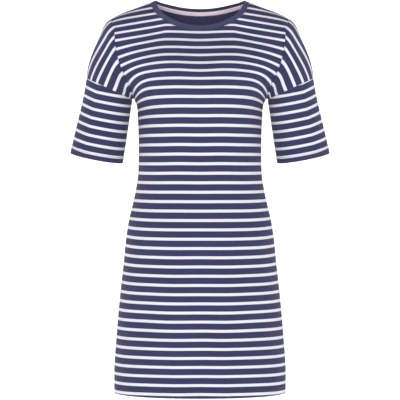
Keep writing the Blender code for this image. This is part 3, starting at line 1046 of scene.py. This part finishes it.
def hem_share(run: np.ndarray, depth: float) -> np.ndarray:
    """How much of the turned-up hem there is at a distance from the edge."""
    return np.clip((depth + HEM_STEP / 2 - run) / HEM_STEP, 0, 1)


def needle_dips(run: np.ndarray, lines: Sequence[float]) -> np.ndarray:
    """How far rows of stitches pull the cloth in, at a distance from the edge."""
    return -NEEDLE_DIP * sum(np.exp(-(((run - line) / NEEDLE_DIP_WIDTH) ** 2)) for line in lines)


def darker(colour: Colour, share: float) -> Colour:
    """The colour with its channels at a share of their values."""
    return tuple(channel * share for channel in colour[:3]) + (1.0,)


def seam_dip(distance: np.ndarray, deep: float = 0.0007, wide: float = 0.0022) -> np.ndarray:
    """How far the cloth dips at a distance from a seam."""
    return -deep * np.exp(-((distance / wide) ** 2))


@dataclass
class Body(Piece):
    """The front and back, cut in one from hem to shoulder.

    Attributes:
        form: The worn form.
        columns_per_step: Fine columns for each column of the solids.
        rows_per_step: Fine rows for each row of the solids.
        hem_depth: Height of the turned-up hem.
        needle_gap: Distance between the hem's two rows of stitches.
        stripe_pitch: One repeat of the stripes, along the back.
        shoulder_pace: Rise of the front's stripe levels in each metre of cloth over the shoulder.
        shoulder_reach: How far below the shoulder line that pace starts.
        shoulder_blend: The height over which it comes in.
        droop_start: Where the stripes start to droop, as a share of the half width.
        arch_width: Where their arch beside the middle ends, as such a share.
        seam_gap: Distance between front and back at their seams.
    """

    form: WornForm = field(default_factory=WornForm)
    columns_per_step: int = 5
    rows_per_step: int = 5
    hem_depth: float = 0.021
    needle_gap: float = 0.0050
    stripe_pitch: float = 0.0209
    shoulder_pace: float = 0.70
    shoulder_reach: float = 0.04
    shoulder_blend: float = 0.015
    droop_start: float = 0.4
    arch_width: float = 0.7
    seam_gap: float = 0.0002

    def fine_columns(self) -> np.ndarray:
        """Columns over the whole width, closer together beside the side seams."""
        half = np.linspace(0, SIDE_COLUMN, SIDE_COLUMN * self.columns_per_step + 1)
        beside_seam = SIDE_COLUMN - np.array([0.04, 0.08, 0.13])
        half = np.unique(np.concatenate([half, beside_seam]))
        return np.concatenate([-half[:0:-1], half])

    def fine_rows(self) -> np.ndarray:
        """Rows from hem to top, closer together in the hem and beside the top seams."""
        rows = np.linspace(0, TOP_ROW, TOP_ROW * self.rows_per_step + 1)
        in_hem = np.linspace(0, 0.8, 25)
        beside_seam = TOP_ROW - np.array([0.04, 0.08, 0.13])
        return np.unique(np.concatenate([rows, in_hem, beside_seam]))

    def even_over_shoulder(self, points: np.ndarray, values: np.ndarray, pace: float) -> np.ndarray:
        """Values that go on changing evenly where the cloth lies flat over the shoulder.

        Args:
            points: The panel's points, in rows upwards.
            values: A value of each point.
            pace: The least change in each metre of cloth near the shoulder.

        Returns:
            The values, with new ones near the shoulder seam.
        """
        steps = np.diff(points, axis=0)
        change = np.diff(values, axis=0)
        least = pace * np.hypot(steps[..., 1], steps[..., 2])
        below = self.form.ridge_height(np.abs(points[1:, :, 0])) - points[1:, :, 2]
        near = np.clip((self.shoulder_reach - below) / self.shoulder_blend, 0, 1)
        change = np.where(np.abs(least) > np.abs(change), change + near * (least - change), change)
        return np.concatenate([values[:1], values[0] + np.cumsum(change, axis=0)])

    def front_stripes(self, points: np.ndarray) -> np.ndarray:
        """Stripe numbers of the front, which follow the photographed stripes.

        Args:
            points: The front's points.

        Returns:
            The stripe number of each point.
        """
        x, height = np.abs(points[..., 0]), points[..., 2]
        share = np.clip(x / self.form.edge_x(height), 0, 1)
        height = self.even_over_shoulder(points, height, self.shoulder_pace)
        level = height
        for _ in range(3):
            droop = smooth(level, STRIPE_LEVELS, "droop")
            power = smooth(level, STRIPE_LEVELS, "power")
            arch = smooth(level, STRIPE_LEVELS, "arch")
            outer = np.maximum(0, (share - self.droop_start) / (1 - self.droop_start))
            inner = np.clip(share / self.arch_width, 0, 1)
            fall = droop * outer**power - arch * np.sin(math.pi * inner) ** 2
            level = height + fall
        return smooth(level, STRIPE_LEVELS, "stripe")

    def back_stripes(self, points: np.ndarray) -> np.ndarray:
        """Stripe numbers of the back: even along the cloth, and matched to the front at the side seams.

        Args:
            points: The back's points.

        Returns:
            The stripe number of each point.
        """
        middle = points.shape[1] // 2
        column = points[:, middle]
        steps = np.linalg.norm(np.diff(column, axis=0), axis=-1)
        run = np.concatenate([[0], np.cumsum(steps)])
        hem_stripe = float(smooth(np.array([HEM_HEIGHT]), STRIPE_LEVELS, "stripe")[0])
        at_middle = hem_stripe - run / self.stripe_pitch
        height = points[..., 2]
        even = np.interp(height, column[:, 2], at_middle)
        over_top = np.maximum(0, height - column[-1, 2]) / self.stripe_pitch
        matched = self.front_stripes(points)
        share = np.clip(np.abs(points[..., 0]) / self.form.edge_x(height), 0, 1)
        blend = share**4 * (height < UNDERARM_HEIGHT)
        number = self.even_over_shoulder(points, even - over_top, -1 / self.stripe_pitch)
        return number * (1 - blend) + matched * blend

    def grid(self, face: Face) -> ClothGrid:
        """The fine grid of the front or back."""
        columns = self.fine_columns()
        if face is Face.BACK:
            columns = columns[::-1]
        rows = self.fine_rows()
        column, row = np.meshgrid(columns, rows)
        points = self.form.place(column, row, face)
        stripes = self.front_stripes(points) if face is Face.FRONT else self.back_stripes(points)
        hem_run = points[..., 2] - HEM_HEIGHT
        grid = ClothGrid(points, stripes, hem=hem_share(hem_run, self.hem_depth))
        x, height = points[..., 0], points[..., 2]
        rise = np.zeros_like(x)
        for crease in CREASES[face]:
            rise = rise + fold_rise(crease, x, height)
        along_rows = grid.run_along_rows()
        to_side = np.minimum(along_rows, along_rows[:, -1:] - along_rows)
        along_columns = grid.run_along_columns()
        to_top = along_columns[-1:] - along_columns
        fade = np.clip(np.minimum(to_side, to_top) / 0.02, 0, 1)
        rise = rise * fade + seam_dip(to_side) + seam_dip(to_top)
        grid.lift(rise + needle_dips(along_columns, needle_lines(self.hem_depth, self.needle_gap)))
        out = 1 if face is Face.BACK else -1
        grid.points[..., 1] += out * self.seam_gap / 2
        return grid

    def build(self, wardrobe: Wardrobe) -> dict[Face, ClothGrid]:
        """Args:
            wardrobe: The finishes.

        Returns:
            The two grids.
        """
        grids = {}
        for face in Face:
            grid = self.grid(face)
            name = f"{face.value}_cloth"
            cloth = self.finish(grid, name, face.value, "striped_jersey", wardrobe.striped)
            out = self.hem_wall / 2 + THREAD_LIFT
            heights = needle_lines(self.hem_depth, self.needle_gap)
            lines = [grid.line_across(height, out) for height in heights]
            stitches = StitchRun().sew(f"{face.value}_hem_stitches", lines, wardrobe.navy_thread)
            self.trim(stitches, "striped_jersey")
            grids[face] = grid
        return grids


@dataclass
class Sleeve(Piece):
    """One sleeve: an upper piece with lengthwise stripes and a lower piece with crosswise ones.

    Attributes:
        side: Left or right.
        around: Fine columns round the sleeve.
        upper_rows: Fine rows of the upper piece.
        lower_rows: Fine rows of the lower piece.
        hem_depth: Height of the turned-up hem.
        needle_gap: Distance between the hem's two rows of stitches.
        fullness: How far the upper piece leaves the armhole outwards.
        underarm_fullness: How much more it does so at the underarm.
        seam_step: Distance between the upper piece and the armhole.
        swell: How far the shoulder lifts the upper piece.
        swell_at: Where that lift is highest, as a share of the way down.
        stripe_bow: How far the lengthwise stripes bow towards the underarm, in repeats.
        cuff_pitch: One repeat of the stripes along the lower piece.
        first_cuff_stripe: Height of the lowest stripe's middle above the hem.
        outer_rise: How much higher it lies on the outer side.
        outer_stretch: How much longer the repeat is there.
    """

    side: Side = Side.LEFT
    around: int = 128
    upper_rows: int = 44
    lower_rows: int = 64
    hem_depth: float = 0.019
    needle_gap: float = 0.0050
    fullness: float = 0.22
    underarm_fullness: float = 0.33
    seam_step: float = 0.0006
    swell: float = 0.0040
    swell_at: float = 0.13
    stripe_bow: float = 0.17
    cuff_pitch: float = 0.01985
    first_cuff_stripe: float = 0.0137
    outer_rise: float = 0.0018
    outer_stretch: float = 0.00035

    def turns(self) -> np.ndarray:
        """Turns round the sleeve: from the underarm up the back, over the top and down the front."""
        return np.linspace(-math.pi, math.pi, self.around + 1)

    def ring(self, ring: Ring, turn: np.ndarray) -> np.ndarray:
        """Points of a round section. Turn 0 is its outer end, and a quarter turn its front."""
        centre, across, forward = (np.array(value) for value in ring)
        return centre + np.cos(turn)[:, None] * across + np.sin(turn)[:, None] * forward

    def course(self, turn: np.ndarray, inner_lean: float, outer_lean: float) -> np.ndarray:
        """The way a piece's cloth runs down at the seam between the pieces.

        Args:
            turn: Turns round the sleeve.
            inner_lean: How far it leans outwards at the underarm.
            outer_lean: How far it leans outwards on the outer side.

        Returns:
            One direction for each turn.
        """
        outer = (1 + np.cos(turn)) / 2
        lean = inner_lean + (outer_lean - inner_lean) * outer
        return unit(np.stack([lean, np.zeros_like(turn), -np.ones_like(turn)], axis=-1))

    def shoulder_swell(self, turn: np.ndarray, rows: np.ndarray) -> np.ndarray:
        """How the shoulder lifts the upper piece on its outer side, a little below the armhole."""
        place = (rows / self.swell_at)[:, None]
        rise = self.swell * (place * np.exp(1 - place)) ** 2 * np.maximum(0.0, np.cos(turn)) ** 2
        return rise[..., None] * np.array([0.93, 0.0, 0.37])

    def cap_stripes(self, turn: np.ndarray, rows: np.ndarray) -> np.ndarray:
        """Stripe numbers of the upper piece, which run on over the shoulder from front to back.

        Args:
            turn: Turns round the sleeve.
            rows: Shares of the way from the armhole to the seam.

        Returns:
            Rows by columns of stripe numbers.
        """
        share = 1 - np.abs(turn) / math.pi
        start = smooth(share, CAP_STRIPES, "stripe", by="share")
        end = smooth(np.degrees(np.abs(turn)), CAP_STRIPES, "stripe", by="turn")
        number = start + (end - start) * rows[:, None]
        bow = np.clip(number - 0.5, 0, 1) * np.clip((4 - number) / 2, -0.2, 1)
        number = number - self.stripe_bow * bow * np.sin(math.pi * rows[:, None])
        middle = number[:, np.abs(turn).argmin()][:, None]
        middle = middle + (middle.mean() - middle) * np.abs(turn) / math.pi
        return np.where(turn < 0, 2 * middle - number, number)

    def armhole(self, form: WornForm, turn: np.ndarray) -> np.ndarray:
        """Points of the armhole, even along its length on either half."""
        share = 1 - np.abs(turn) / math.pi
        height = np.interp(share, form.armhole_share, form.armhole_height)
        x = form.edge_x(height)
        front = -form.depth(x, height, Face.FRONT)
        back = form.depth(x, height, Face.BACK)
        return np.stack([x, np.where(turn > 0, front, back), height], axis=-1)

    def hermite(
        self,
        start: np.ndarray,
        start_way: np.ndarray,
        end: np.ndarray,
        end_way: np.ndarray,
        rows: np.ndarray,
    ) -> np.ndarray:
        """Smooth curves between two rings.

        Args:
            start: The first ring's points.
            start_way: The curves' directions there.
            end: The last ring's points.
            end_way: The curves' directions there.
            rows: Shares of the way, from 0 to 1.

        Returns:
            Rows by columns by 3.
        """
        s = rows[:, None, None]
        length = np.linalg.norm(end - start, axis=-1, keepdims=True)
        first = start * ((1 + 2 * s) * (1 - s) ** 2) + start_way * length * (s * (1 - s) ** 2)
        return first + end * (s * s * (3 - 2 * s)) - end_way * length * (s * s * (1 - s))

    def placed(self, grid: ClothGrid) -> ClothGrid:
        """The grid on its own side of the garment, with its faces outwards."""
        if self.side is Side.LEFT:
            return grid
        grid.points = grid.points[:, ::-1] * np.array([-1.0, 1.0, 1.0])
        grid.stripes = grid.stripes[:, ::-1]
        if grid.hem.size:
            grid.hem = grid.hem[:, ::-1]
        return grid

    def even_rows(self, count: int, fine_start: bool, fine_end: bool) -> np.ndarray:
        """Shares of the way along a sleeve piece, closer together beside its seams."""
        rows = [np.linspace(0, 1, count + 1)]
        close = np.array([0.004, 0.009, 0.016])
        if fine_start:
            rows.append(close)
        if fine_end:
            rows.append(1 - close)
        return np.unique(np.concatenate(rows))

    def upper_grid(self, form: WornForm) -> ClothGrid:
        """The piece between the armhole and the sleeve's seam."""
        turn = self.turns()
        under = ((1 - np.cos(turn)) / 2) ** 6
        start = self.armhole(form, turn)
        out = 0.0002 + self.seam_step * (1 - under**2)
        start = start + np.stack([out, 0 * turn, 0.0010 * under], axis=-1)
        way_down = self.course(turn, 0.40, 0.06)
        end = self.ring(SLEEVE_SEAM_RING, turn) - way_down * 0.0001
        slope = -0.4 * np.maximum(0.0, np.cos(turn))
        outwards = unit(np.stack([np.ones_like(turn), 0.25 * np.sin(turn), slope], axis=-1))
        fullness = (self.fullness + self.underarm_fullness * ((1 - np.cos(turn)) / 2) ** 3)[:, None]
        start_way = unit((1 - fullness) * unit(end - start) + fullness * outwards)
        rows = self.even_rows(self.upper_rows, True, True)
        points = self.hermite(start, start_way, end, way_down, rows) + self.shoulder_swell(turn, rows)
        grid = ClothGrid(points, self.cap_stripes(turn, rows), turned=True)
        self.seams(grid, True)
        return self.placed(grid)

    def lower_grid(self) -> ClothGrid:
        """The piece between the sleeve's seam and its hem."""
        turn = self.turns()
        way_down = self.course(turn, 0.16, 0.13)
        start = self.ring(SLEEVE_SEAM_RING, turn) + way_down * 0.0001
        end = self.ring(SLEEVE_HEM_RING, turn)
        hem_way = np.broadcast_to(unit(np.array([0.19, 0.0, -1.0])), end.shape)
        rows = self.even_rows(self.lower_rows, True, True)
        in_hem = 1 - np.linspace(0, 0.13, 18)
        rows = np.unique(np.concatenate([rows, in_hem]))
        points = self.hermite(start, way_down, end, hem_way, rows)
        grid = ClothGrid(points, np.zeros(points.shape[:2]))
        run = grid.run_along_columns()
        up = run[-1:] - run
        outer = np.maximum(0.0, (np.cos(turn) - 0.45) / 0.4)
        first = self.first_cuff_stripe + self.outer_rise * outer
        grid.stripes = (up - first) / (self.cuff_pitch + self.outer_stretch * outer)
        grid.hem = hem_share(up, self.hem_depth)
        grid.lift(needle_dips(up, needle_lines(self.hem_depth, self.needle_gap)))
        self.seams(grid, False)
        return self.placed(grid)

    def seams(self, grid: ClothGrid, both_ends: bool) -> None:
        """Lets the cloth dip at the underarm seam and at the seams round the sleeve."""
        along_rows = grid.run_along_rows()
        to_side = np.minimum(along_rows, along_rows[:, -1:] - along_rows)
        along = grid.run_along_columns()
        rise = seam_dip(to_side, 0.0004) + seam_dip(along)
        if both_ends:
            rise = rise + seam_dip(along[-1:] - along)
        grid.lift(rise)

    def build(self, form: WornForm, wardrobe: Wardrobe) -> None:
        """Args:
            form: The worn form, whose armhole the sleeve is sewn to.
            wardrobe: The finishes.
        """
        word = self.side.name.lower()
        slot, cloth = "striped_jersey", wardrobe.striped
        name, node = f"upper_sleeve_cloth_{word}", f"upper_sleeve_{word}"
        upper = self.finish(self.upper_grid(form), name, node, slot, cloth)
        grid = self.lower_grid()
        name, node = f"lower_sleeve_cloth_{word}", f"lower_sleeve_{word}"
        lower = self.finish(grid, name, node, slot, cloth)
        out = self.hem_wall / 2 + THREAD_LIFT
        heights = needle_lines(self.hem_depth, self.needle_gap)
        lines = [grid.line_across(height, out, True) for height in heights]
        stitches = StitchRun().sew(f"sleeve_hem_stitches_{word}", lines, wardrobe.navy_thread)
        self.trim(stitches, "striped_jersey")


@dataclass
class Neck(Piece):
    """The rib neckband, the tape over the back neck seam and the half-moon patch below it.

    Attributes:
        band_width: Height of the folded neckband.
        band_wall: Thickness of the folded neckband.
        around: Fine columns of a quarter of the band.
        band_rows: Fine rows of the band.
        tape_above: How far the tape reaches above the neck seam.
        tape_below: How far it reaches below.
        tape_wall: Thickness of the tape and of the patch.
        patch_depth: Depth of the half-moon patch at its middle.
        patch_top: Distance of its upper edge below the neck seam.
        patch_inwards: How far it lies inside the back.
        patch_stitch_inset: Distance of its stitches from its curved edge.
        tape_stitch_inset: Distance of the tape's stitches from its edges.
        tape_reach: The last column of the neck that the tape covers.
        patch_reach: The last column that the patch covers.
        topstitch_drop: Distance of the neck's stitches below its seam.
    """

    band_width: float = 0.0122
    band_wall: float = 0.0021
    around: int = 64
    band_rows: int = 12
    tape_above: float = 0.0046
    tape_below: float = 0.0052
    tape_wall: float = 0.0009
    patch_depth: float = 0.078
    patch_top: float = 0.0058
    patch_inwards: float = 0.0018
    patch_stitch_inset: float = 0.0018
    tape_stitch_inset: float = 0.0012
    tape_reach: float = 7.4
    patch_reach: float = 6.0
    topstitch_drop: float = 0.0022

    def seam(self, form: WornForm, column: np.ndarray, face: Face) -> np.ndarray:
        """Points of the neck seam at signed columns of the solids."""
        return form.place(column, np.full_like(column, TOP_ROW), face)

    def upwards(self, points: np.ndarray, behind: np.ndarray) -> np.ndarray:
        """The way the band stands up from the seam.

        Args:
            points: Points of the seam.
            behind: Whether each is on the back.

        Returns:
            One direction for each point.
        """
        front_way = unit(np.array([0.0, 0.0050, 0.0112]))
        back_way = unit(np.array([0.0, -0.0050, 0.0110]))
        steep = np.where(behind[:, None], back_way, front_way)
        level = 0 * points[:, 0]
        side = np.stack([-np.sign(points[:, 0]) * 0.0115, level, 0.0042 + level], axis=-1)
        share = np.clip(np.abs(points[:, 0:1]) / NECK_POINT_X, 0, 1) ** 2
        return unit(steep * (1 - share) + unit(side) * share)

    def ring(self, form: WornForm) -> tuple[np.ndarray, np.ndarray]:
        """The neck seam all round, from the left shoulder over the back to the right and over the front.

        Args:
            form: The worn form.

        Returns:
            The points, with the first again at the end, and whether each is on the back.
        """
        steps = np.linspace(-NECK_COLUMNS, NECK_COLUMNS, 2 * self.around + 1)
        back = self.seam(form, steps[::-1], Face.BACK)
        front = self.seam(form, steps, Face.FRONT)
        points = np.concatenate([back, front[1:]])
        behind = np.arange(len(points)) < len(back)
        return points, behind

    def band_grid(self, form: WornForm) -> ClothGrid:
        """The band: a plain sheet that stands up from the neck seam."""
        points, behind = self.ring(form)
        way = self.upwards(points, behind)
        reach = np.linspace(0.0003, self.band_width, self.band_rows + 1)
        rows = points + reach[:, None, None] * way
        return ClothGrid(rows, np.zeros(rows.shape[:2]))

    def build_band(self, form: WornForm, wardrobe: Wardrobe) -> None:
        """Builds the neckband and softens its edges."""
        grid = self.band_grid(form)
        band = Piece(wall=self.band_wall).finish(grid, "neckband_rib", "neckband", "navy_rib", wardrobe.rib)
        bevel = band.modifiers.new("soft edge", "BEVEL")
        bevel.width = 0.0007
        bevel.segments = 2
        bevel.limit_method = "ANGLE"

    def below_seam(self, form: WornForm, column: np.ndarray, drop: np.ndarray, face: Face) -> np.ndarray:
        """Points of the body a given way below the neck seam, along its columns.

        Args:
            column: Signed columns of the solids.
            drop: The distance below the seam for each.
            face: The front or the back.

        Returns:
            One point for each column.
        """
        rows = np.linspace(TOP_ROW, UNDERARM_ROW, 161)
        result = []
        for at, distance in zip(column, drop):
            line = form.place(np.full_like(rows, at), rows, face)
            run = np.concatenate([[0], np.cumsum(np.linalg.norm(np.diff(line, axis=0), axis=-1))])
            result.append([np.interp(distance, run, line[:, k]) for k in range(3)])
        return np.array(result)

    def build_topstitch(self, form: WornForm, wardrobe: Wardrobe) -> None:
        """Sews the row of stitches that holds the neck seam flat."""
        lines = []
        for face in Face:
            steps = np.linspace(-NECK_COLUMNS, NECK_COLUMNS, 121)
            line = self.below_seam(form, steps, np.full_like(steps, self.topstitch_drop), face)
            inside = line * np.array([1.0, 0.0, 0.0]) + np.array([0.0, 0.0, -0.10])
            lines.append(line + unit(line - inside) * 0.0008)
        stitches = StitchRun().sew("neck_topstitch", lines, wardrobe.navy_thread)
        self.trim(stitches, "navy_rib")

    def inner_grid(self, rows: np.ndarray, inwards: float) -> ClothGrid:
        """A grid on the inside of the back, moved inwards, with its faces into the neck."""
        grid = ClothGrid(rows, np.zeros(rows.shape[:2]))
        grid.lift(np.full(rows.shape[:2], -inwards))
        grid.points = grid.points[:, ::-1]
        return grid

    def build_tape(self, form: WornForm, wardrobe: Wardrobe) -> None:
        """Builds the tape and the stitches along both its edges."""
        column = np.linspace(self.tape_reach, -self.tape_reach, 121)
        seam = self.seam(form, column, Face.BACK)
        way = self.upwards(seam, np.full(len(seam), True))
        rows = []
        for share in np.linspace(0, 1, 7):
            drop = np.full_like(column, self.tape_below * (1 - share))
            below = self.below_seam(form, column, drop, Face.BACK)
            above = seam + way * (self.tape_above * share)
            rows.append(below * (1 - share) + above * share)
        inwards = self.band_wall / 2 + 0.0002 + self.tape_wall / 2
        grid = self.inner_grid(np.array(rows), inwards)
        piece = Piece(wall=self.tape_wall)
        tape = piece.finish(grid, "neck_tape", "back_neck_tape", "pink_tape", wardrobe.tape)
        out = self.tape_wall / 2 + THREAD_LIFT
        inset = self.tape_stitch_inset
        lines = [grid.line_across(inset, out), grid.line_across(inset, out, True)]
        stitches = StitchRun(radius=0.00022).sew("neck_tape_stitches", lines, wardrobe.pink_thread)
        self.trim(stitches, "pink_tape")

    def build_patch(self, form: WornForm, wardrobe: Wardrobe) -> None:
        """Builds the half-moon patch and the stitches round its curved edge."""
        column = np.linspace(self.patch_reach, -self.patch_reach, 97)
        seam = self.seam(form, column, Face.BACK)
        widest = abs(seam[0, 0]) * 1.02
        drop = self.patch_depth * np.sqrt(1 - (seam[:, 0] / widest) ** 2)
        rows = []
        for share in np.linspace(1, 0, 25):
            below = self.patch_top + (drop - self.patch_top) * share
            rows.append(self.below_seam(form, column, below, Face.BACK))
        grid = self.inner_grid(np.array(rows), self.patch_inwards)
        piece = Piece(wall=self.tape_wall)
        patch = piece.finish(grid, "neck_patch", "back_neck_patch", "navy_jersey", wardrobe.plain)
        lines = [grid.line_across(self.patch_stitch_inset, self.tape_wall / 2 + THREAD_LIFT)]
        stitches = StitchRun(radius=0.00025).sew("neck_patch_stitches", lines, wardrobe.navy_thread)
        self.trim(stitches, "navy_jersey")

    def build(self, form: WornForm, wardrobe: Wardrobe) -> None:
        """Builds everything at the neck."""
        self.build_band(form, wardrobe)
        self.build_topstitch(form, wardrobe)
        self.build_tape(form, wardrobe)
        self.build_patch(form, wardrobe)


@dataclass
class Studio:
    """The camera at the photograph's viewing angle, the pale backdrop and the soft lights.

    Attributes:
        distance: The camera's distance from the garment's middle plane.
        eye_height: The camera's height.
        aim_height: The height that it looks at.
        view_width: Width of the view at the garment's middle plane.
        sensor: The camera sensor's width in millimetres.
        floor_height: The floor's height under a wearer's feet.
        wall_distance: Distance of the round wall.
        backdrop_glow: How much the pale backdrop shines by itself.
    """

    distance: float = 4.2
    eye_height: float = -0.40
    aim_height: float = -0.4595
    view_width: float = 0.9236
    sensor: float = 36.0
    floor_height: float = -1.42
    wall_distance: float = 8.0
    backdrop_glow: float = 0.44

    def add_camera(self) -> None:
        """Adds the camera and makes it the scene's."""
        data = bpy.data.cameras.new("camera")
        data.sensor_width = self.sensor
        data.sensor_fit = "HORIZONTAL"
        to_aim = math.hypot(self.distance, self.eye_height - self.aim_height)
        data.lens = self.sensor * to_aim / self.view_width
        camera = bpy.data.objects.new("camera", data)
        camera.location = (0.0, -self.distance, self.eye_height)
        way = Vector((0.0, self.distance, self.aim_height - self.eye_height))
        camera.rotation_euler = way.to_track_quat("-Z", "Y").to_euler()
        bpy.context.scene.collection.objects.link(camera)
        bpy.context.scene.camera = camera

    def add_light(self, name: str, place: Sequence[float], size: float, power: float) -> None:
        """Adds one soft square light that faces the garment's middle.

        Args:
            name: The light's name.
            place: Where it stands.
            size: The length of its side.
            power: Its power in watts.
        """
        data = bpy.data.lights.new(name, "AREA")
        data.size = size
        data.energy = power
        light = bpy.data.objects.new(name, data)
        light.location = place
        way = Vector((0.0, 0.0, -0.45)) - Vector(place)
        light.rotation_euler = way.to_track_quat("-Z", "Y").to_euler()
        bpy.context.scene.collection.objects.link(light)

    def add_backdrop(self) -> None:
        """Adds the pale floor, which curves up into a round wall far outside every view."""
        profile = [(0.0, self.floor_height), (self.wall_distance - 2.0, self.floor_height)]
        for i in range(1, 13):
            turn = 0.5 * math.pi * i / 12
            out = self.wall_distance - 2.0 + 2.0 * math.sin(turn)
            profile.append((out, self.floor_height + 2.0 * (1 - math.cos(turn))))
        profile.append((self.wall_distance, 7.0))
        turns = [2 * math.pi * i / 64 for i in range(64)]
        points = [(out * math.cos(t), out * math.sin(t), z) for out, z in profile for t in turns]
        faces = []
        for ring in range(len(profile) - 1):
            for i in range(64):
                j = (i + 1) % 64
                faces.append((ring * 64 + i, ring * 64 + j, (ring + 1) * 64 + j, (ring + 1) * 64 + i))
        mesh = bpy.data.meshes.new("backdrop")
        mesh.from_pydata(points, [], faces)
        mesh.shade_smooth()
        backdrop = bpy.data.objects.new("backdrop", mesh)
        bpy.context.scene.collection.objects.link(backdrop)
        material = bpy.data.materials.new("pale backdrop")
        material.use_nodes = True
        shader = material.node_tree.nodes["Principled BSDF"]
        shader.inputs["Base Color"].default_value = (0.9, 0.9, 0.9, 1.0)
        shader.inputs["Roughness"].default_value = 1.0
        shader.inputs["Emission Color"].default_value = (1.0, 1.0, 1.0, 1.0)
        shader.inputs["Emission Strength"].default_value = self.backdrop_glow
        mesh.materials.append(material)

    def add_world(self) -> None:
        """Sets the even white surroundings and a plain view of the colours."""
        world = bpy.data.worlds.new("studio")
        world.use_nodes = True
        background = world.node_tree.nodes["Background"]
        background.inputs["Color"].default_value = (1.0, 1.0, 1.0, 1.0)
        background.inputs["Strength"].default_value = 0.26
        scene = bpy.context.scene
        scene.world = world
        scene.view_settings.view_transform = "Standard"
        scene.view_settings.look = "None"

    def build(self) -> None:
        """Sets up the studio."""
        self.add_camera()
        self.add_world()
        self.add_backdrop()
        self.add_light("front", (-0.4, -4.6, -0.2), 2.2, 66.0)
        self.add_light("side", (2.6, -2.4, 0.6), 2.2, 2.0)
        self.add_light("behind", (0.6, 3.6, 1.2), 2.6, 20.0)


def main() -> None:
    """Builds the dressed nightshirt and its studio."""
    logging.basicConfig(level=logging.INFO, format="%(name)s: %(message)s")
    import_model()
    Studio().build()
    wardrobe = Wardrobe()
    form = WornForm()
    Body(form=form).build(wardrobe)
    for side in Side:
        Sleeve(side=side).build(form, wardrobe)
    Neck().build(form, wardrobe)


if __name__ == "__main__":
    main()
